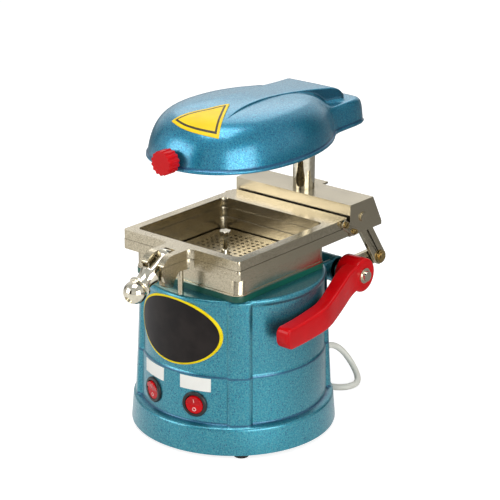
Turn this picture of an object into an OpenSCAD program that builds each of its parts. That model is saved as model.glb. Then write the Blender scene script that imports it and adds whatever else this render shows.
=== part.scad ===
// Dental vacuum former: a heater head swings on a post over a plate frame that a lever lifts.
// Millimetres, +Z up, front towards -Y. The origin is on the floor under the drum's axis.

/* [Drum] */
// Outer diameter of the drum at the foot of its skirt
base_d = 184; // [182:1:190]
// Height of the rubber feet
foot_h = 4; // [3:0.5:6]
// Diameter of the rubber feet
foot_d = 15; // [12:0.5:18]
// Height of the skirt
skirt_h = 24; // [20:1:28]
// Height of the band that carries the switches
band_h = 45; // [42:1:50]
// Height of the upper part of the drum
drum_h = 69.6; // [66:0.2:74]
// How far the switch band stands back from the foot of the skirt
skirt_step = 8.5; // [7:0.5:9]
// Thickness of the cast wall
wall = 3; // [2.5:0.1:3.5]
// Thickness of the deck on top of the drum
deck_t = 4; // [3:0.5:5]
// Width of each pilaster in degrees
pilaster_deg = 14.7; // [10:0.1:18]
// Thickness of the bottom cover
cover_t = 2.5; // [2:0.5:4]

/* [Chamber] */
// Thickness of the gasket under the chamber
gasket_t = 5.2; // [4:0.2:6]
// Outer width of the chamber box
chamber_w = 119; // [118:0.5:121]
// Wall of the chamber box
chamber_wall = 3; // [2.5:0.1:3.2]
// Height of the chamber box
chamber_h = 17.4; // [16:0.2:20]
// Height of the ledge that carries the perforated plate
ledge_h = 4.2; // [4:0.1:5]
// Diameter of the suction port
port_d = 30; // [20:1:50]
// Distance of the chamber's centre in front of the drum's axis
chamber_fwd = 4; // [2:0.5:6]
// Thickness of the perforated plate
tray_t = 3; // [2:0.5:4]
// Diameter of the suction holes
hole_d = 3; // [2:0.2:3.6]
// Distance between the suction holes
hole_pitch = 6.2; // [5.6:0.1:7]
// Suction holes along each side of the plate
hole_count = 15; // [9:2:17]
// Height of the lift knob above the plate
tray_knob_h = 22; // [18:1:24]

/* [Frame] */
// Width of the plate frame
frame_w = 132; // [130:0.5:136]
// Distance from the drum's axis to the front edge of the frame
frame_front = 71; // [69:0.5:73]
// Thickness of the lower frame
low_t = 8.8; // [8:0.2:10]
// Thickness of the upper frame
up_t = 8.3; // [8:0.1:10]
// Width of the square window
window_w = 112.8; // [112.4:0.1:113]
// Outer width of the clamp fork
fork_w = 25; // [24:0.5:28]
// Slot in the clamp fork
fork_slot = 11; // [10:0.2:12]
// Diameter of the tilt screws
tilt_d = 4; // [3:0.1:5]
// Distance from the drum's axis back to the tilt axis
tilt_y = 72.5; // [71:0.5:74]

/* [Clamp] */
// Distance from the drum's axis forward to the swing bolt's pin
clamp_fwd = 88; // [87.5:0.1:89]
// Diameter of the swing bolt
bolt_d = 7; // [6:0.1:7.5]
// Diameter of the pin that the swing bolt turns on
clamp_pin_d = 4.5; // [4:0.1:5]
// Diameter of the ball of the clamp knob
ball_d = 20; // [18:0.5:22]
// Slope of the closed swing bolt below the horizontal
bolt_slope = 30; // [28:1:32]

/* [Lift] */
// Diameter of the post
post_d = 20; // [18:0.5:21]
// Distance from the drum's axis back to the post
post_y = 99; // [98.5:0.1:100]
// Diameter of the lift shaft
shaft_d = 8; // [6:0.1:8]
// Distance from the drum's axis back to the lift shaft
shaft_y = 83.5; // [83:0.1:84]
// Height of the lift shaft
shaft_z = 131.5; // [131:0.1:132]
// Length of the crank from the shaft to its pin
crank_r = 50; // [48:0.5:52]
// Width of the crank and link bars
bar_w = 15; // [12:0.5:16]
// Thickness of the crank and link bars
bar_t = 4; // [3:0.2:4.4]
// Diameter of the crank pins
crank_pin_d = 6; // [5:0.1:7]
// Distance from the drum's axis back to the upper pivot of the links
link_top_y = 101.1; // [100:0.1:102]
// Thickness of the channel's sheet
channel_t = 2; // [1.5:0.1:2.5]
// Height of the channel above the upper frame
channel_rise = 10.9; // [9:0.1:14]
// Thickness of the hand lever
lever_t = 14; // [12:0.5:16]
// Reach of the hand lever in front of the drum's axis
lever_fwd = 43; // [40:1:48]

/* [Heater head] */
// Height of the head's rim above the floor
head_z = 252; // [250:1:262]
// Greatest half width of the head
head_half_w = 66.5; // [66:0.1:69]
// Reach of the head in front of the drum's axis
head_fwd = 79; // [78:0.5:82]
// Reach of the head's tail behind the drum's axis
head_back = 146; // [142:1:150]
// Height of the dome above the rim
dome_h = 43; // [41:0.5:47]
// Wall of the head casting
head_wall = 3; // [2.5:0.1:3.5]
// Height of the raised rib above the dome
rib_rise = 1.2; // [0.8:0.1:2]
// Diameter of the head's front knob
head_knob_d = 21; // [18:0.5:23]
// Diameter of the heating element's ring
element_d = 78; // [60:1:90]

/* [Switches] */
// Diameter of the switch bezels
bezel_d = 23; // [21.5:0.1:24]
// Angle from the front to each switch
switch_deg = 16.7; // [14:0.1:20]
// Width of the label over each switch
label_w = 29; // [18:1:32]
// Height of the label over each switch
label_h = 12; // [8:0.5:14]
// Width of the oval badge plate
badge_w = 91; // [70:1:94]
// Height of the oval badge plate
badge_h = 61; // [50:1:62]

/* [Mains lead] */
// Diameter of the lead
cord_d = 6; // [6:0.1:6.2]

/* [Hidden] */
$fn = 48;

// Clearances: round running fits, gaps between moving faces, and loose fits
run_fit = 0.05;
gap = 0.3;
loose = 0.5;

// Levels and radii of the drum
skirt_z = foot_h + skirt_h;
band_z = skirt_z + band_h;
deck_z = band_z + drum_h;
shoulder = 1.5;
draft = 1;
base_r = base_d / 2;
skirt_r = base_r - 2.1;
band_r = base_r - skirt_step;
band_top_r = band_r - draft;
drum_r = band_top_r - draft;
drum_top_r = drum_r - draft;
rim_r = drum_top_r + 0.8;
rim_h = 4;
pilaster_low_r = band_r + 4.5;
pilaster_mid_r = band_r + 2;
pilaster_top_r = rim_r + 1;
pilaster_turn = [-135, -44, 44, 135];
foot_r = base_r - 9.5;
foot_turn = 45;
stud_d = 4;
post_boss_d = 10;
post_boss_h = skirt_z - 0.4 - foot_h - cover_t;

// Levels of the chamber and the frame
chamber_y = -chamber_fwd;
chamber_z = deck_z + gasket_t;
chamber_top = chamber_z + chamber_h;
ledge_z = chamber_z + ledge_h;
ledge_w = 5;
chamber_in = chamber_w - 2 * chamber_wall;
tray_z = ledge_z + gap;
tray_w = chamber_in - 4;
tray_knob_x = -hole_pitch;
low_z = chamber_top + loose;
low_top = low_z + low_t;
up_z = low_top + gap;
up_top = up_z + up_t;
tilt_z = up_z + up_t / 2 - 0.15;
up_back = tilt_y + 6.5;
low_back = tilt_y + 9.5;
up_w = frame_w - 2 * gap;
plate_corner = 3;

// Clamp
clamp_y = -clamp_fwd;
clamp_z = up_top - 4.1;
eye_r = 5.2;
bell_at = 22.9;
bell_r = 9.15;
bell_len = 12.4;
ball_at = bell_at + bell_len + 9;
nose_r = 15.1;
nose_y = clamp_y - 4;

// Channel, links and crank
channel_y = low_back;
channel_top = up_top + channel_rise;
channel_deep = 34;
channel_foot = 47.7;
channel_back = channel_y + channel_deep;
channel_heel = channel_y + channel_foot;
channel_low = low_z - 1.2;
lip_w = 8;
link_top_z = tilt_z;
crank_pin_y = shaft_y + crank_r;
crank_pin_z = shaft_z;
plate_x = frame_w / 2;
link_x = plate_x - channel_t - 1 - bar_t;
crank_x = link_x - 1 - bar_t;
sleeve_d = post_d + 6;
sleeve_z = 150;
boss_r = 16;
boss_z = 100;
barrel_r = 11;
barrel_x = crank_x - 2;
ear_t = 6;
ear_r = 12;
post_foot_z = boss_z + 5;

// Lever
hub_r = 15.5;
hub_x = link_x + 1;
hub_out = band_r - 1.5;
handle_in = band_r + 0.5;
handle_out = handle_in + lever_t;
washer_d = 14;

// Heater head
head_y = 8;
oval_front = head_fwd + head_y;
oval_back = 102;
tail_half = 38;
tail_rise = 24.3;
tail_reach = head_back - head_y;
crown = 6;
lip = 1.4;
lip_h = 2.6;
rib_z = head_z + dome_h + rib_rise;
rib_back = 123.5;
post_top = rib_z - 15;
head_boss_r = 15.5;
head_knob_z = head_z + 8.5;
reflector_r = element_d / 2 + 17;
element_z = head_z + 10;
element_tube = 7;

// Switches
switch_z = skirt_z + 18;
label_z = skirt_z + 37;
badge_z = band_z + 36.5;
seat_r = band_r - 1.3;
barrel_d = bezel_d - 3.2;
pocket_r = bezel_d / 2 - 2.7;
rocker_r = pocket_r - 0.7;
rocker_tilt = 9;
pivot_out = 0.8;
flange_t = 2.8;

// Mains lead
cord_turn = 171;
cord_z = 36;
relief_len = 25;
relief_r0 = band_r - 1;
relief_r1 = relief_r0 + relief_len;
coil_r = 43;
coil_turns = 3;
coil_pitch = 6.7;
coil_y = 146;
coil_x = -72;
coil_rings = 24;
coil_sides = 6;
tube_sides = 10;
cord_exit = [relief_r1 * sin(cord_turn), -relief_r1 * cos(cord_turn), cord_z];
cord_route = [[18, 117, 36], [19, 126, 33], [22, 133, 27], [27, 137, 19], [34, 137, 11], [41, 133, 5.5],
    [46, 125, 3.2], [46, 115, 3], [41, 107, 3], [32, 102.5, 3], [20, 101, 3], [6, 101, 3], [-8, 101, 3],
    [-22, 102, 3], [-36, 103, 3], [-50, 103, 3]];
cord_tail = [[-90, 103, 9.2], [-99, 102.5, 6.5], [-107, 100, 4.2], [-114, 95.5, 3.6], [-119.5, 88.5, 4.4],
    [-122.5, 80, 5.8], [-123.5, 72, 7]];
plug_end = [-123.5, 64, 7];

// Slab with round corners, from plain squares and circles
module rounded(w, l, r) {
    square([w - 2 * r, l], center = true);
    square([w, l - 2 * r], center = true);
    for (x = [-1, 1], y = [-1, 1])
        translate([x * (w / 2 - r), y * (l / 2 - r)]) circle(r);
}

// Extrusion along X from x0 of an outline drawn in Y and Z
module across(x0, w) {
    translate([x0, 0, 0]) rotate([90, 0, 90]) linear_extrude(w) children();
}

// Puts a child at the right for side 1 and mirrored at the left for side -1
module at_side(side) {
    if (side > 0) children();
    else mirror([1, 0, 0]) children();
}

// Round bar along X from x0
module rod_x(x0, len, r, y, z) {
    translate([x0, y, z]) rotate([0, 90, 0]) cylinder(h = len, r = r);
}

// Turns a child that points towards -Y to an angle from the front
module around(deg) {
    rotate([0, 0, deg]) children();
}

// Points of an arc in a plane
function arc(c, r, a0, a1, n) = [for (i = [0:n]) c + r * [cos(a0 + (a1 - a0) * i / n), sin(a0 + (a1 - a0) * i / n)]];

// Flat bar along two points in Y and Z, with round ends
module bar(x0, t, p, q, r) {
    a = atan2(q[1] - p[1], q[0] - p[0]);
    across(x0, t) polygon(concat(arc(p, r, a + 90, a + 270, 12), arc(q, r, a - 90, a + 90, 12)));
}

// Points of a quadratic curve
function curve(a, b, c, n) = [for (i = [0:n]) let (t = i / n) (1 - t) ^ 2 * a + 2 * t * (1 - t) * b + t ^ 2 * c];

// Drum casting with pilasters, rear post boss and shaft barrel
module base_housing() color("steelblue") difference() {
    union() {
        drum_shell();
        for (a = pilaster_turn) pilaster(a);
        for (a = [foot_turn:90:360]) around(a) translate([0, -foot_r, foot_h + cover_t])
            cylinder(h = post_boss_h, d = post_boss_d);
        translate([0, post_y, boss_z]) cylinder(h = deck_z - boss_z, r = boss_r);
        translate([-boss_r, drum_top_r - wall, boss_z])
            cube([2 * boss_r, post_y - drum_top_r + wall, deck_z - boss_z]);
        rod_x(-barrel_x, 2 * barrel_x, barrel_r, shaft_y, shaft_z);
        for (side = [-1, 1]) at_side(side) shaft_ear();
    }
    translate([0, post_y, post_foot_z]) cylinder(h = deck_z, d = post_d);
    rod_x(-barrel_x - 1, 2 * barrel_x + 2, shaft_d / 2 + run_fit, shaft_y, shaft_z);
    for (side = [-1, 1]) around(side * switch_deg) switch_cut();
    around(cord_turn) lead_cut();
    translate([pin_x, -pin_fwd, deck_z - pin_sink]) cylinder(h = pin_sink + 1, d = pin_d);
    for (a = [foot_turn:90:360]) around(a) translate([0, -foot_r, 0]) cylinder(h = stud_top, d = stud_d);
}

module drum_shell() rotate_extrude() polygon([
    [base_r, foot_h], [skirt_r, skirt_z], [band_r, skirt_z + shoulder], [band_top_r, band_z],
    [drum_r, band_z + shoulder], [drum_top_r, deck_z - rim_h - 2], [rim_r, deck_z - rim_h],
    [rim_r, deck_z - 1.8], [rim_r - 0.6, deck_z - 0.6], [rim_r - 2, deck_z],
    [port_d / 2, deck_z], [port_d / 2, deck_z - deck_t], [drum_top_r - wall, deck_z - deck_t],
    [drum_r - wall, band_z], [band_top_r - wall, band_z - wall], [band_r - wall, skirt_z - wall + shoulder],
    [skirt_r - wall, skirt_z - wall], [base_r - wall, foot_h]]);

module pilaster(a) rotate([0, 0, a - 90 - pilaster_deg / 2]) rotate_extrude(angle = pilaster_deg) polygon([
    [band_r - wall / 2, skirt_z - 1], [pilaster_low_r, skirt_z - 1], [pilaster_low_r, skirt_z + 1],
    [pilaster_mid_r, band_z + 1], [pilaster_top_r, deck_z - 2.6], [rim_r - 0.6, deck_z - 0.6],
    [drum_top_r - wall / 2, deck_z - 1], [drum_top_r - wall / 2, band_z + wall],
    [band_top_r - wall / 2, band_z]]);

// Hanging ear that closes the barrel's end, tied forward to the drum
module shaft_ear() {
    rod_x(barrel_x - ear_t, ear_t, ear_r, shaft_y, shaft_z - 1);
    translate([barrel_x - ear_t, drum_top_r - 18.5, deck_z - 18]) cube([ear_t, shaft_y - drum_top_r + 18.5, 16]);
}

module switch_cut() translate([0, -seat_r, switch_z]) rotate([90, 0, 0]) {
    cylinder(h = wall + 5, d = bezel_d + 0.4);
    translate([0, 0, -wall - 5]) cylinder(h = wall + 6, d = barrel_d);
}

module lead_cut() translate([0, -relief_r0 + 0.5, cord_z]) rotate([90, 0, 0]) {
    cylinder(h = 6, d = relief_flange_d);
    translate([0, 0, -wall - 3]) cylinder(h = wall + 4, d = relief_d);
}
relief_flange_d = 15;
relief_d = 10.5;

// Cover that closes the drum from below, with vent holes
module bottom_cover() color("dimgray") translate([0, 0, foot_h]) difference() {
    cylinder(h = cover_t, r = base_r - wall - gap);
    for (a = [foot_turn:90:360]) around(a) translate([0, -foot_r, -1]) cylinder(h = cover_t + 2, d = stud_d);
    for (a = [0:vent_step:359]) around(a) translate([0, -vent_r, -1]) cylinder(h = cover_t + 2, d = vent_d);
}
vent_step = 30;
vent_r = 50;
vent_d = 9;
stud_top = foot_h + cover_t + 12;

// Rubber foot with its moulded-in stud
module foot(a) color("black") around(a) translate([0, -foot_r, 0]) {
    cylinder(h = foot_h - 1, d1 = foot_d - 2, d2 = foot_d);
    translate([0, 0, foot_h - 1]) cylinder(h = 1, d = foot_d);
    cylinder(h = stud_top, d = stud_d);
}

// Turbine scroll bolted under the deck
turbine_z = boss_z + 6;
turbine_r = 56;
motor_r = 42;
motor_z = 50;
module turbine_housing() color("silver") rotate_extrude() polygon([
    [port_d / 2, deck_z - deck_t], [turbine_r, deck_z - deck_t], [turbine_r, turbine_z + 3],
    [turbine_r - 3, turbine_z], [12, turbine_z], [12, turbine_z + 3], [turbine_r - 4, turbine_z + 4],
    [turbine_r - 4, deck_z - deck_t - 4], [port_d / 2, deck_z - deck_t - 4]]);

// Universal motor under the turbine
module drive_motor() color("gray") rotate_extrude() polygon([
    [0, motor_z], [14, motor_z], [14, motor_z + 6], [motor_r - 6, motor_z + 8], [motor_r, motor_z + 14],
    [motor_r, turbine_z - 6], [motor_r - 4, turbine_z], [11.5, turbine_z], [11.5, turbine_z + 3],
    [0, turbine_z + 3]]);

// Green gasket between the drum and the chamber
module chamber_gasket() color("darkgreen") translate([0, chamber_y, deck_z]) linear_extrude(gasket_t) difference() {
    rounded(chamber_w + 2, chamber_w + 2, 9);
    circle(d = port_d);
}

// Open box that the sheet is drawn down over
module chamber_box() color("silver") translate([0, chamber_y, chamber_z]) difference() {
    union() {
        linear_extrude(chamber_h) rounded(chamber_w, chamber_w, 8);
        linear_extrude(1.6) rounded(chamber_w + 1.4, chamber_w + 1.4, 8.7);
    }
    translate([0, 0, ledge_h]) linear_extrude(chamber_h) rounded(chamber_in, chamber_in, 5);
    translate([0, 0, ledge_h / 2]) linear_extrude(chamber_h) rounded(chamber_in - 2 * ledge_w, chamber_in - 2 * ledge_w, 5);
    translate([0, 0, -1]) cylinder(h = chamber_h, d = port_d);
}

// Pin that the front of the lower frame comes down on
pin_x = 6.5;
pin_fwd = drum_top_r - 3.5;
pin_d = 5;
pin_sink = 7;
module rest_pin() color("silver") translate([pin_x, -pin_fwd, deck_z - pin_sink])
    cylinder(h = low_z - gap - deck_z + pin_sink, d = pin_d);

// Round post that guides the frame and carries the head
module lift_post() color("gainsboro") translate([0, post_y, post_foot_z]) {
    cylinder(h = post_top - post_foot_z - 1.5, d = post_d);
    translate([0, 0, post_top - post_foot_z - 1.5]) cylinder(h = 1.5, d1 = post_d, d2 = post_d - 3);
}

// Thin skin of the drum between two radii and two levels, for what is stuck on it
module skin(r0, r1, z0, z1, t) rotate_extrude() polygon([[r0, z0], [r0 + t, z0], [r1 + t, z1], [r1, z1]]);

// Oval plate on the front of the drum
badge_t = 1.2;
module badge_plate() color("black") intersection() {
    skin(drum_r, drum_top_r, band_z + shoulder, deck_z - rim_h - 2, badge_t);
    translate([0, 0, badge_z]) rotate([90, 0, 0]) linear_extrude(base_r)
        polygon([for (a = [0:7.5:359]) [badge_w / 2 * cos(a), badge_h / 2 * sin(a)]]);
}

// Blank label over a switch
label_t = 0.4;
module label(side) color("white") intersection() {
    skin(band_r, band_top_r, skirt_z + shoulder, band_z, label_t);
    around(side * switch_deg) translate([-label_w / 2, -base_r, label_z - label_h / 2])
        cube([label_w, base_r, label_h]);
}

// Round bezel with its barrel and the pocket that the rocker turns in
module bezel(side) color("black") around(side * switch_deg) translate([0, -seat_r, switch_z])
    rotate([90, 0, 0]) difference() {
        union() {
            cylinder(h = flange_t - 0.8, d = bezel_d);
            translate([0, 0, flange_t - 0.8]) cylinder(h = 0.8, d1 = bezel_d, d2 = bezel_d - 1.6);
            translate([0, 0, -barrel_len]) cylinder(h = barrel_len + 1, d = barrel_d);
        }
        translate([0, 0, flange_t - pocket_deep]) cylinder(h = pocket_deep + 1, r = pocket_r);
        translate([-pivot_half - gap, 0, pivot_out]) rotate([0, 90, 0])
            cylinder(h = 2 * (pivot_half + gap), r = pivot_r + run_fit);
    }
barrel_len = 20;
pocket_deep = 9;
pivot_r = 1;
pivot_half = bezel_d / 2 - 1.9;

// Rocker on its two pivots, resting with one end in
module rocker(side) color("red") around(side * switch_deg) translate([0, -seat_r - pivot_out, switch_z])
    rotate([90 + rocker_tilt, 0, 0]) {
        intersection() {
            translate([0, 0, -3]) cylinder(h = 8, r = rocker_r);
            across(-rocker_r, 2 * rocker_r) polygon([[-rocker_r, -2.5], [rocker_r, -2.5],
                [rocker_r, 1.6 + rocker_r * tan(rocker_tilt)], [0, 1.6],
                [-rocker_r, 1.6 + rocker_r * tan(rocker_tilt)]]);
        }
        rod_x(-pivot_half, 2 * pivot_half, pivot_r, 0, 0);
    }

// Lower frame with the lug that the clamp pulls on
module frame_plan(w, back, window) translate([0, (back - frame_front) / 2]) difference() {
    rounded(w, frame_front + back, plate_corner);
    translate([0, chamber_y - (back - frame_front) / 2]) rounded(window, window + 1.6, 5);
}
sheet_ledge = 0.9;

// Round inner corners where the fork leaves the frame
module fork_roots() for (side = [-1, 1]) at_side(side)
    translate([fork_w / 2 - 0.1, -frame_front - root_r + 0.1]) difference() {
        square(root_r);
        translate([root_r, 0]) circle(root_r);
    }
root_r = 6;

module lug_side() polygon([
    [-frame_front + 4, low_z], [-frame_front + 4, low_top], [nose_tip, low_top],
    [clamp_y - 17.4, clamp_z - 11.6], [clamp_y - 15.1, clamp_z - 17.6], [clamp_y - 15.7, clamp_z - 20.1],
    [clamp_y - 11.5, clamp_z - 23.4], [clamp_y - 5.2, clamp_z - 24.8], [clamp_y - 2.6, clamp_z - 18.6],
    [clamp_y + 2.5, clamp_z - 12.8], [-frame_front - 1, low_z]]);
nose_tip = clamp_y - 18.5;

module fork_slots() {
    across(-fork_slot / 2, fork_slot) polygon([[clamp_y - 30, 0], [slot_root, 0], [slot_root, head_z],
        [clamp_y - 30, head_z]]);
}
slot_root = clamp_y + eye_r + 0.8;

module lower_frame() color("tan") difference() {
    union() {
        translate([0, 0, low_z]) linear_extrude(low_t) {
            frame_plan(frame_w, low_back, window_w);
            fork_roots();
        }
        across(-fork_w / 2, fork_w) lug_side();
    }
    fork_slots();
    across(-bell_r - loose, 2 * (bell_r + loose)) translate([clamp_y - 30, 0]) square([15.3, low_top + 1]);
}

// Upper frame, hinged at the back, with the fork that holds the swing bolt
module fork_side() polygon(concat([[-frame_front + 4, up_z], [-frame_front + 4, up_top]],
    arc([nose_y, up_top - nose_r], nose_r, 90, 180 - asin((up_z - up_top + nose_r) / nose_r), 8)));

module upper_frame() color("tan") difference() {
    union() {
        translate([0, 0, up_z]) linear_extrude(up_t)
            frame_plan(up_w, up_back, window_w + 2 * sheet_ledge);
        translate([0, 0, up_z]) linear_extrude(up_t) fork_roots();
        across(-fork_w / 2, fork_w) fork_side();
    }
    fork_slots();
    rod_x(-fork_w / 2 - 1, fork_w + 2, clamp_pin_d / 2, clamp_y, clamp_z);
    for (side = [-1, 1]) at_side(side)
        rod_x(up_w / 2 - tilt_deep, tilt_deep + 1, tilt_d / 2 + run_fit, tilt_y, tilt_z);
    across(-frame_w / 2, frame_w) polygon([[tilt_y + 0.8, up_z - 1], [tilt_y + 0.8, up_z],
        [up_back + 1, up_z + (up_back + 0.2 - tilt_y) * tan(tilt_max + 1)], [up_back + 1, up_z - 1]]);
}
tilt_deep = 7;
tilt_max = 24;

// Small plates that hang the upper frame on the channel
module hinge_plate(side) color("tan") at_side(side) difference() {
    bar(plate_x, hinge_t, [tilt_y, tilt_z], hinge_low, tilt_d / 2 + 2);
    rod_x(plate_x - 1, 4, tilt_d / 2, tilt_y, tilt_z);
    rod_x(plate_x - 1, 4, hinge_screw_d / 2, hinge_low[0], hinge_low[1]);
}
hinge_t = 2;
hinge_screw_d = 3;
hinge_low = [channel_y + 4, low_z + 3.4];

// Screw with a slotted head outside the plate
module side_screw(side, y, z, d, x0, head_d) color("gold") at_side(side) {
    x1 = plate_x + hinge_t;
    rod_x(x0, x1 - x0, d / 2, y, z);
    difference() {
        rod_x(x1, 2, head_d / 2, y, z);
        translate([x1 + 1.2, y, z]) rotate([35, 0, 0]) cube([2, head_d + 1, 1], center = true);
    }
}
module tilt_screw(side) side_screw(side, tilt_y, tilt_z, tilt_d, up_w / 2 - tilt_deep + 1, tilt_d + 2);
module hinge_screw(side) side_screw(side, hinge_low[0], hinge_low[1], hinge_screw_d, plate_x - channel_t,
    hinge_screw_d + 2);

// Sleeve that slides on the post
module guide_sleeve() color("silver") translate([0, post_y, sleeve_z]) difference() {
    cylinder(h = channel_top - sleeve_z, d = sleeve_d);
    translate([0, 0, -1]) cylinder(h = channel_top + 4 - sleeve_z, r = post_d / 2 + run_fit);
}

// Bent channel across the back, closed at its ends
module channel_outline(t) polygon([[channel_y + t, channel_low], [channel_y + t, channel_top - t],
    [channel_back - t / 2, channel_top - t], [channel_heel - t, channel_low + 3.5], [channel_heel - t, channel_low]]);
module rear_channel() color("tan") difference() {
    union() {
        across(-plate_x, 2 * plate_x) difference() {
            channel_outline(0);
            channel_outline(channel_t);
        }
        for (side = [-1, 1]) at_side(side) across(plate_x - channel_t, channel_t) channel_outline(0);
        for (y = [channel_y, channel_heel - lip_w + 1]) translate([-plate_x, y, channel_low])
            cube([2 * plate_x, lip_w - 1, channel_t]);
        translate([-8, channel_back - 4, channel_top - channel_t]) cube([16, 13, channel_t]);
    }
    translate([0, post_y, sleeve_z]) cylinder(h = channel_top, d = sleeve_d);
    for (side = [-1, 1]) at_side(side) {
        rod_x(plate_x - channel_t - 1, channel_t + 2, hinge_screw_d / 2, hinge_low[0], hinge_low[1]);
        rod_x(plate_x - channel_t - 1, channel_t + 2, rivet_d / 2, link_top_y, link_top_z);
    }
}

// Rivet at the links' upper pivot
rivet_d = 5;
module channel_rivet(side) color("silver") at_side(side) {
    rod_x(link_x + bar_t + gap, plate_x - link_x - bar_t - gap, rivet_d / 2, link_top_y, link_top_z);
    rod_x(plate_x, 1.6, rivet_d / 2 + 2, link_top_y, link_top_z);
}

// Cross pin of the swing bolt
module clamp_pin() color("silver") rod_x(-fork_w / 2, fork_w, clamp_pin_d / 2, clamp_y, clamp_z);

// Moves a child that points towards -Y onto the closed swing bolt
module on_bolt() translate([0, clamp_y, clamp_z]) rotate([bolt_slope + 90, 0, 0]) children();

module swing_bolt() color("silver") difference() {
    union() {
        rod_x(-fork_slot / 2 + gap, fork_slot - 2 * gap, eye_r, clamp_y, clamp_z);
        on_bolt() cylinder(h = ball_at + ball_d / 2 - 2, d = bolt_d);
    }
    rod_x(-fork_slot, 2 * fork_slot, clamp_pin_d / 2 + run_fit, clamp_y, clamp_z);
}

// Knob with its bell, ring and ball
module clamp_knob() color("gainsboro") on_bolt() rotate_extrude() polygon(concat([
    [bolt_d / 2 + run_fit, bell_at], [bell_r, bell_at], [bell_r, bell_at + 0.1 * bell_len],
    [0.89 * bell_r, bell_at + 0.29 * bell_len], [0.79 * bell_r, bell_at + 0.57 * bell_len],
    [0.765 * bell_r, bell_at + 0.81 * bell_len], [0.78 * bell_r, bell_at + bell_len],
    [ball_d / 2, ball_at - 0.415 * ball_d], [ball_d / 2, ball_at - 0.295 * ball_d]],
    arc([0, ball_at], ball_d / 2, -32, 90 - asin((bolt_d + 2 * run_fit) / ball_d), 14)));

// Shaft through the barrel
module lift_shaft() color("silver") rod_x(-link_x - 4, link_x + hub_out + 4, shaft_d / 2, shaft_y, shaft_z);

module crank(side) color("tan") at_side(side) difference() {
    bar(crank_x, bar_t, [shaft_y, shaft_z], [crank_pin_y, crank_pin_z], bar_w / 2);
    rod_x(crank_x - 1, bar_t + 2, shaft_d / 2, shaft_y, shaft_z);
    rod_x(crank_x - 1, bar_t + 2, crank_pin_d / 2, crank_pin_y, crank_pin_z);
}

// Shouldered pin with a two-step head
module crank_pin(side) color("gold") at_side(side) {
    rod_x(crank_x, link_x + bar_t + gap - crank_x, crank_pin_d / 2, crank_pin_y, crank_pin_z);
    rod_x(crank_x + bar_t, 1 - gap, crank_pin_d / 2 + 2, crank_pin_y, crank_pin_z);
    rod_x(link_x + bar_t + gap, 1.5, crank_pin_d / 2 + 3, crank_pin_y, crank_pin_z);
    rod_x(link_x + bar_t + gap + 1.5, 1.4, crank_pin_d / 2 + 1, crank_pin_y, crank_pin_z);
}

module link(side) color("tan") at_side(side) difference() {
    bar(link_x, bar_t, [crank_pin_y, crank_pin_z], [link_top_y, link_top_z], bar_w / 2);
    rod_x(link_x - 1, bar_t + 2, crank_pin_d / 2 + run_fit, crank_pin_y, crank_pin_z);
    rod_x(link_x - 1, bar_t + 2, rivet_d / 2 + run_fit, link_top_y, link_top_z);
}

module shaft_nut() color("gold") difference() {
    rod_x(-link_x - 3.5, 4.5, 6.5, shaft_y, shaft_z);
    rod_x(-link_x - 4, 6, shaft_d / 2, shaft_y, shaft_z);
}

// Lever, bent outwards to pass the drum and drooping to a level handle
module lever_side() polygon(concat(
    curve([shaft_y - 0.71 * hub_r, shaft_z + 0.761 * hub_r], [lever_bend, shaft_z - grip_drop + 1.8],
        [lever_mid, shaft_z - grip_drop], 8),
    arc([lever_tip + tip_r, shaft_z - grip_drop - tip_r], tip_r, 90, 180, 3),
    arc([lever_tip + 1.5 * tip_r, grip_low + 1.5 * tip_r], 1.5 * tip_r, 180, 270, 3),
    curve([lever_mid + 2, grip_low], [lever_bend + 5, grip_low], [shaft_y - 0.645 * hub_r, shaft_z - 0.787 * hub_r], 8)));
lever_tip = -lever_fwd;
lever_mid = lever_tip + 5;
lever_bend = 10;
grip_drop = 9.3;
grip_h = 19;
grip_low = shaft_z - grip_drop - grip_h;
tip_r = 4;
flare_y = shaft_y - hub_r - 2;
module lever_plan() polygon([[hub_out, shaft_y + 5], [hub_out, flare_y], [handle_out, lever_bend + 2],
    [handle_out, lever_tip - 1], [handle_in, lever_tip - 1], [handle_in, lever_bend + 4],
    [hub_out - lever_t, flare_y - 4], [hub_out - lever_t - 2, shaft_y + 5]]);
module hand_lever() color("red") difference() {
    union() {
        rod_x(hub_x, hub_out - hub_x, hub_r, shaft_y, shaft_z);
        intersection() {
            across(hub_x, handle_out) lever_side();
            linear_extrude(shaft_z + hub_r) lever_plan();
        }
    }
    rod_x(hub_x - 1, hub_out, shaft_d / 2, shaft_y, shaft_z);
}

// Washer and screw that hold the lever on its shaft
module lever_bolt() color("silver") difference() {
    union() {
        rod_x(hub_out, 1.2, washer_d / 2, shaft_y, shaft_z);
        rod_x(hub_out + 1.2, 3, shaft_d / 2 + 0.6, shaft_y, shaft_z);
    }
    rod_x(hub_out - 1, 4.2, shaft_d / 2, shaft_y, shaft_z);
}

// Plan of the head: an oval with a tail, measured from its centre at an angle from the front
function oval_r(a) = cos(a) > 0
    ? ((abs(sin(a)) / head_half_w) ^ 2.25 + (cos(a) / oval_front) ^ 2.25) ^ (-1 / 2.25)
    : ((sin(a) / head_half_w) ^ 2 + (cos(a) / oval_back) ^ 2) ^ -0.5;
function tail_r(a) = cos(a) > 0 ? 1 : ((abs(sin(a)) / tail_half) ^ 10 + (-cos(a) / tail_reach) ^ 10) ^ -0.1;
function head_r(a) = (oval_r(a) ^ 18 + tail_r(a) ^ 18) ^ (1 / 18);

// Height over the rim at a share s of the plan's radius
function dome(r) = r < 1 ? (dome_h - crown) * (1 - r ^ 8) ^ 0.625 + crown * (1 - r ^ 2) : 0;
function tail(r) = r < 1 ? tail_rise * (1 - r ^ 60) ^ 0.7 : 0;
function head_h(a, s) = let (m = s * max(oval_r(a), tail_r(a))) max(dome(m / oval_r(a)), tail(m / tail_r(a)));
function head_point(a, s, grow, h) = let (r = s * head_r(a) + grow) [r * sin(a), head_y - r * cos(a), head_z + h];

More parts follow.
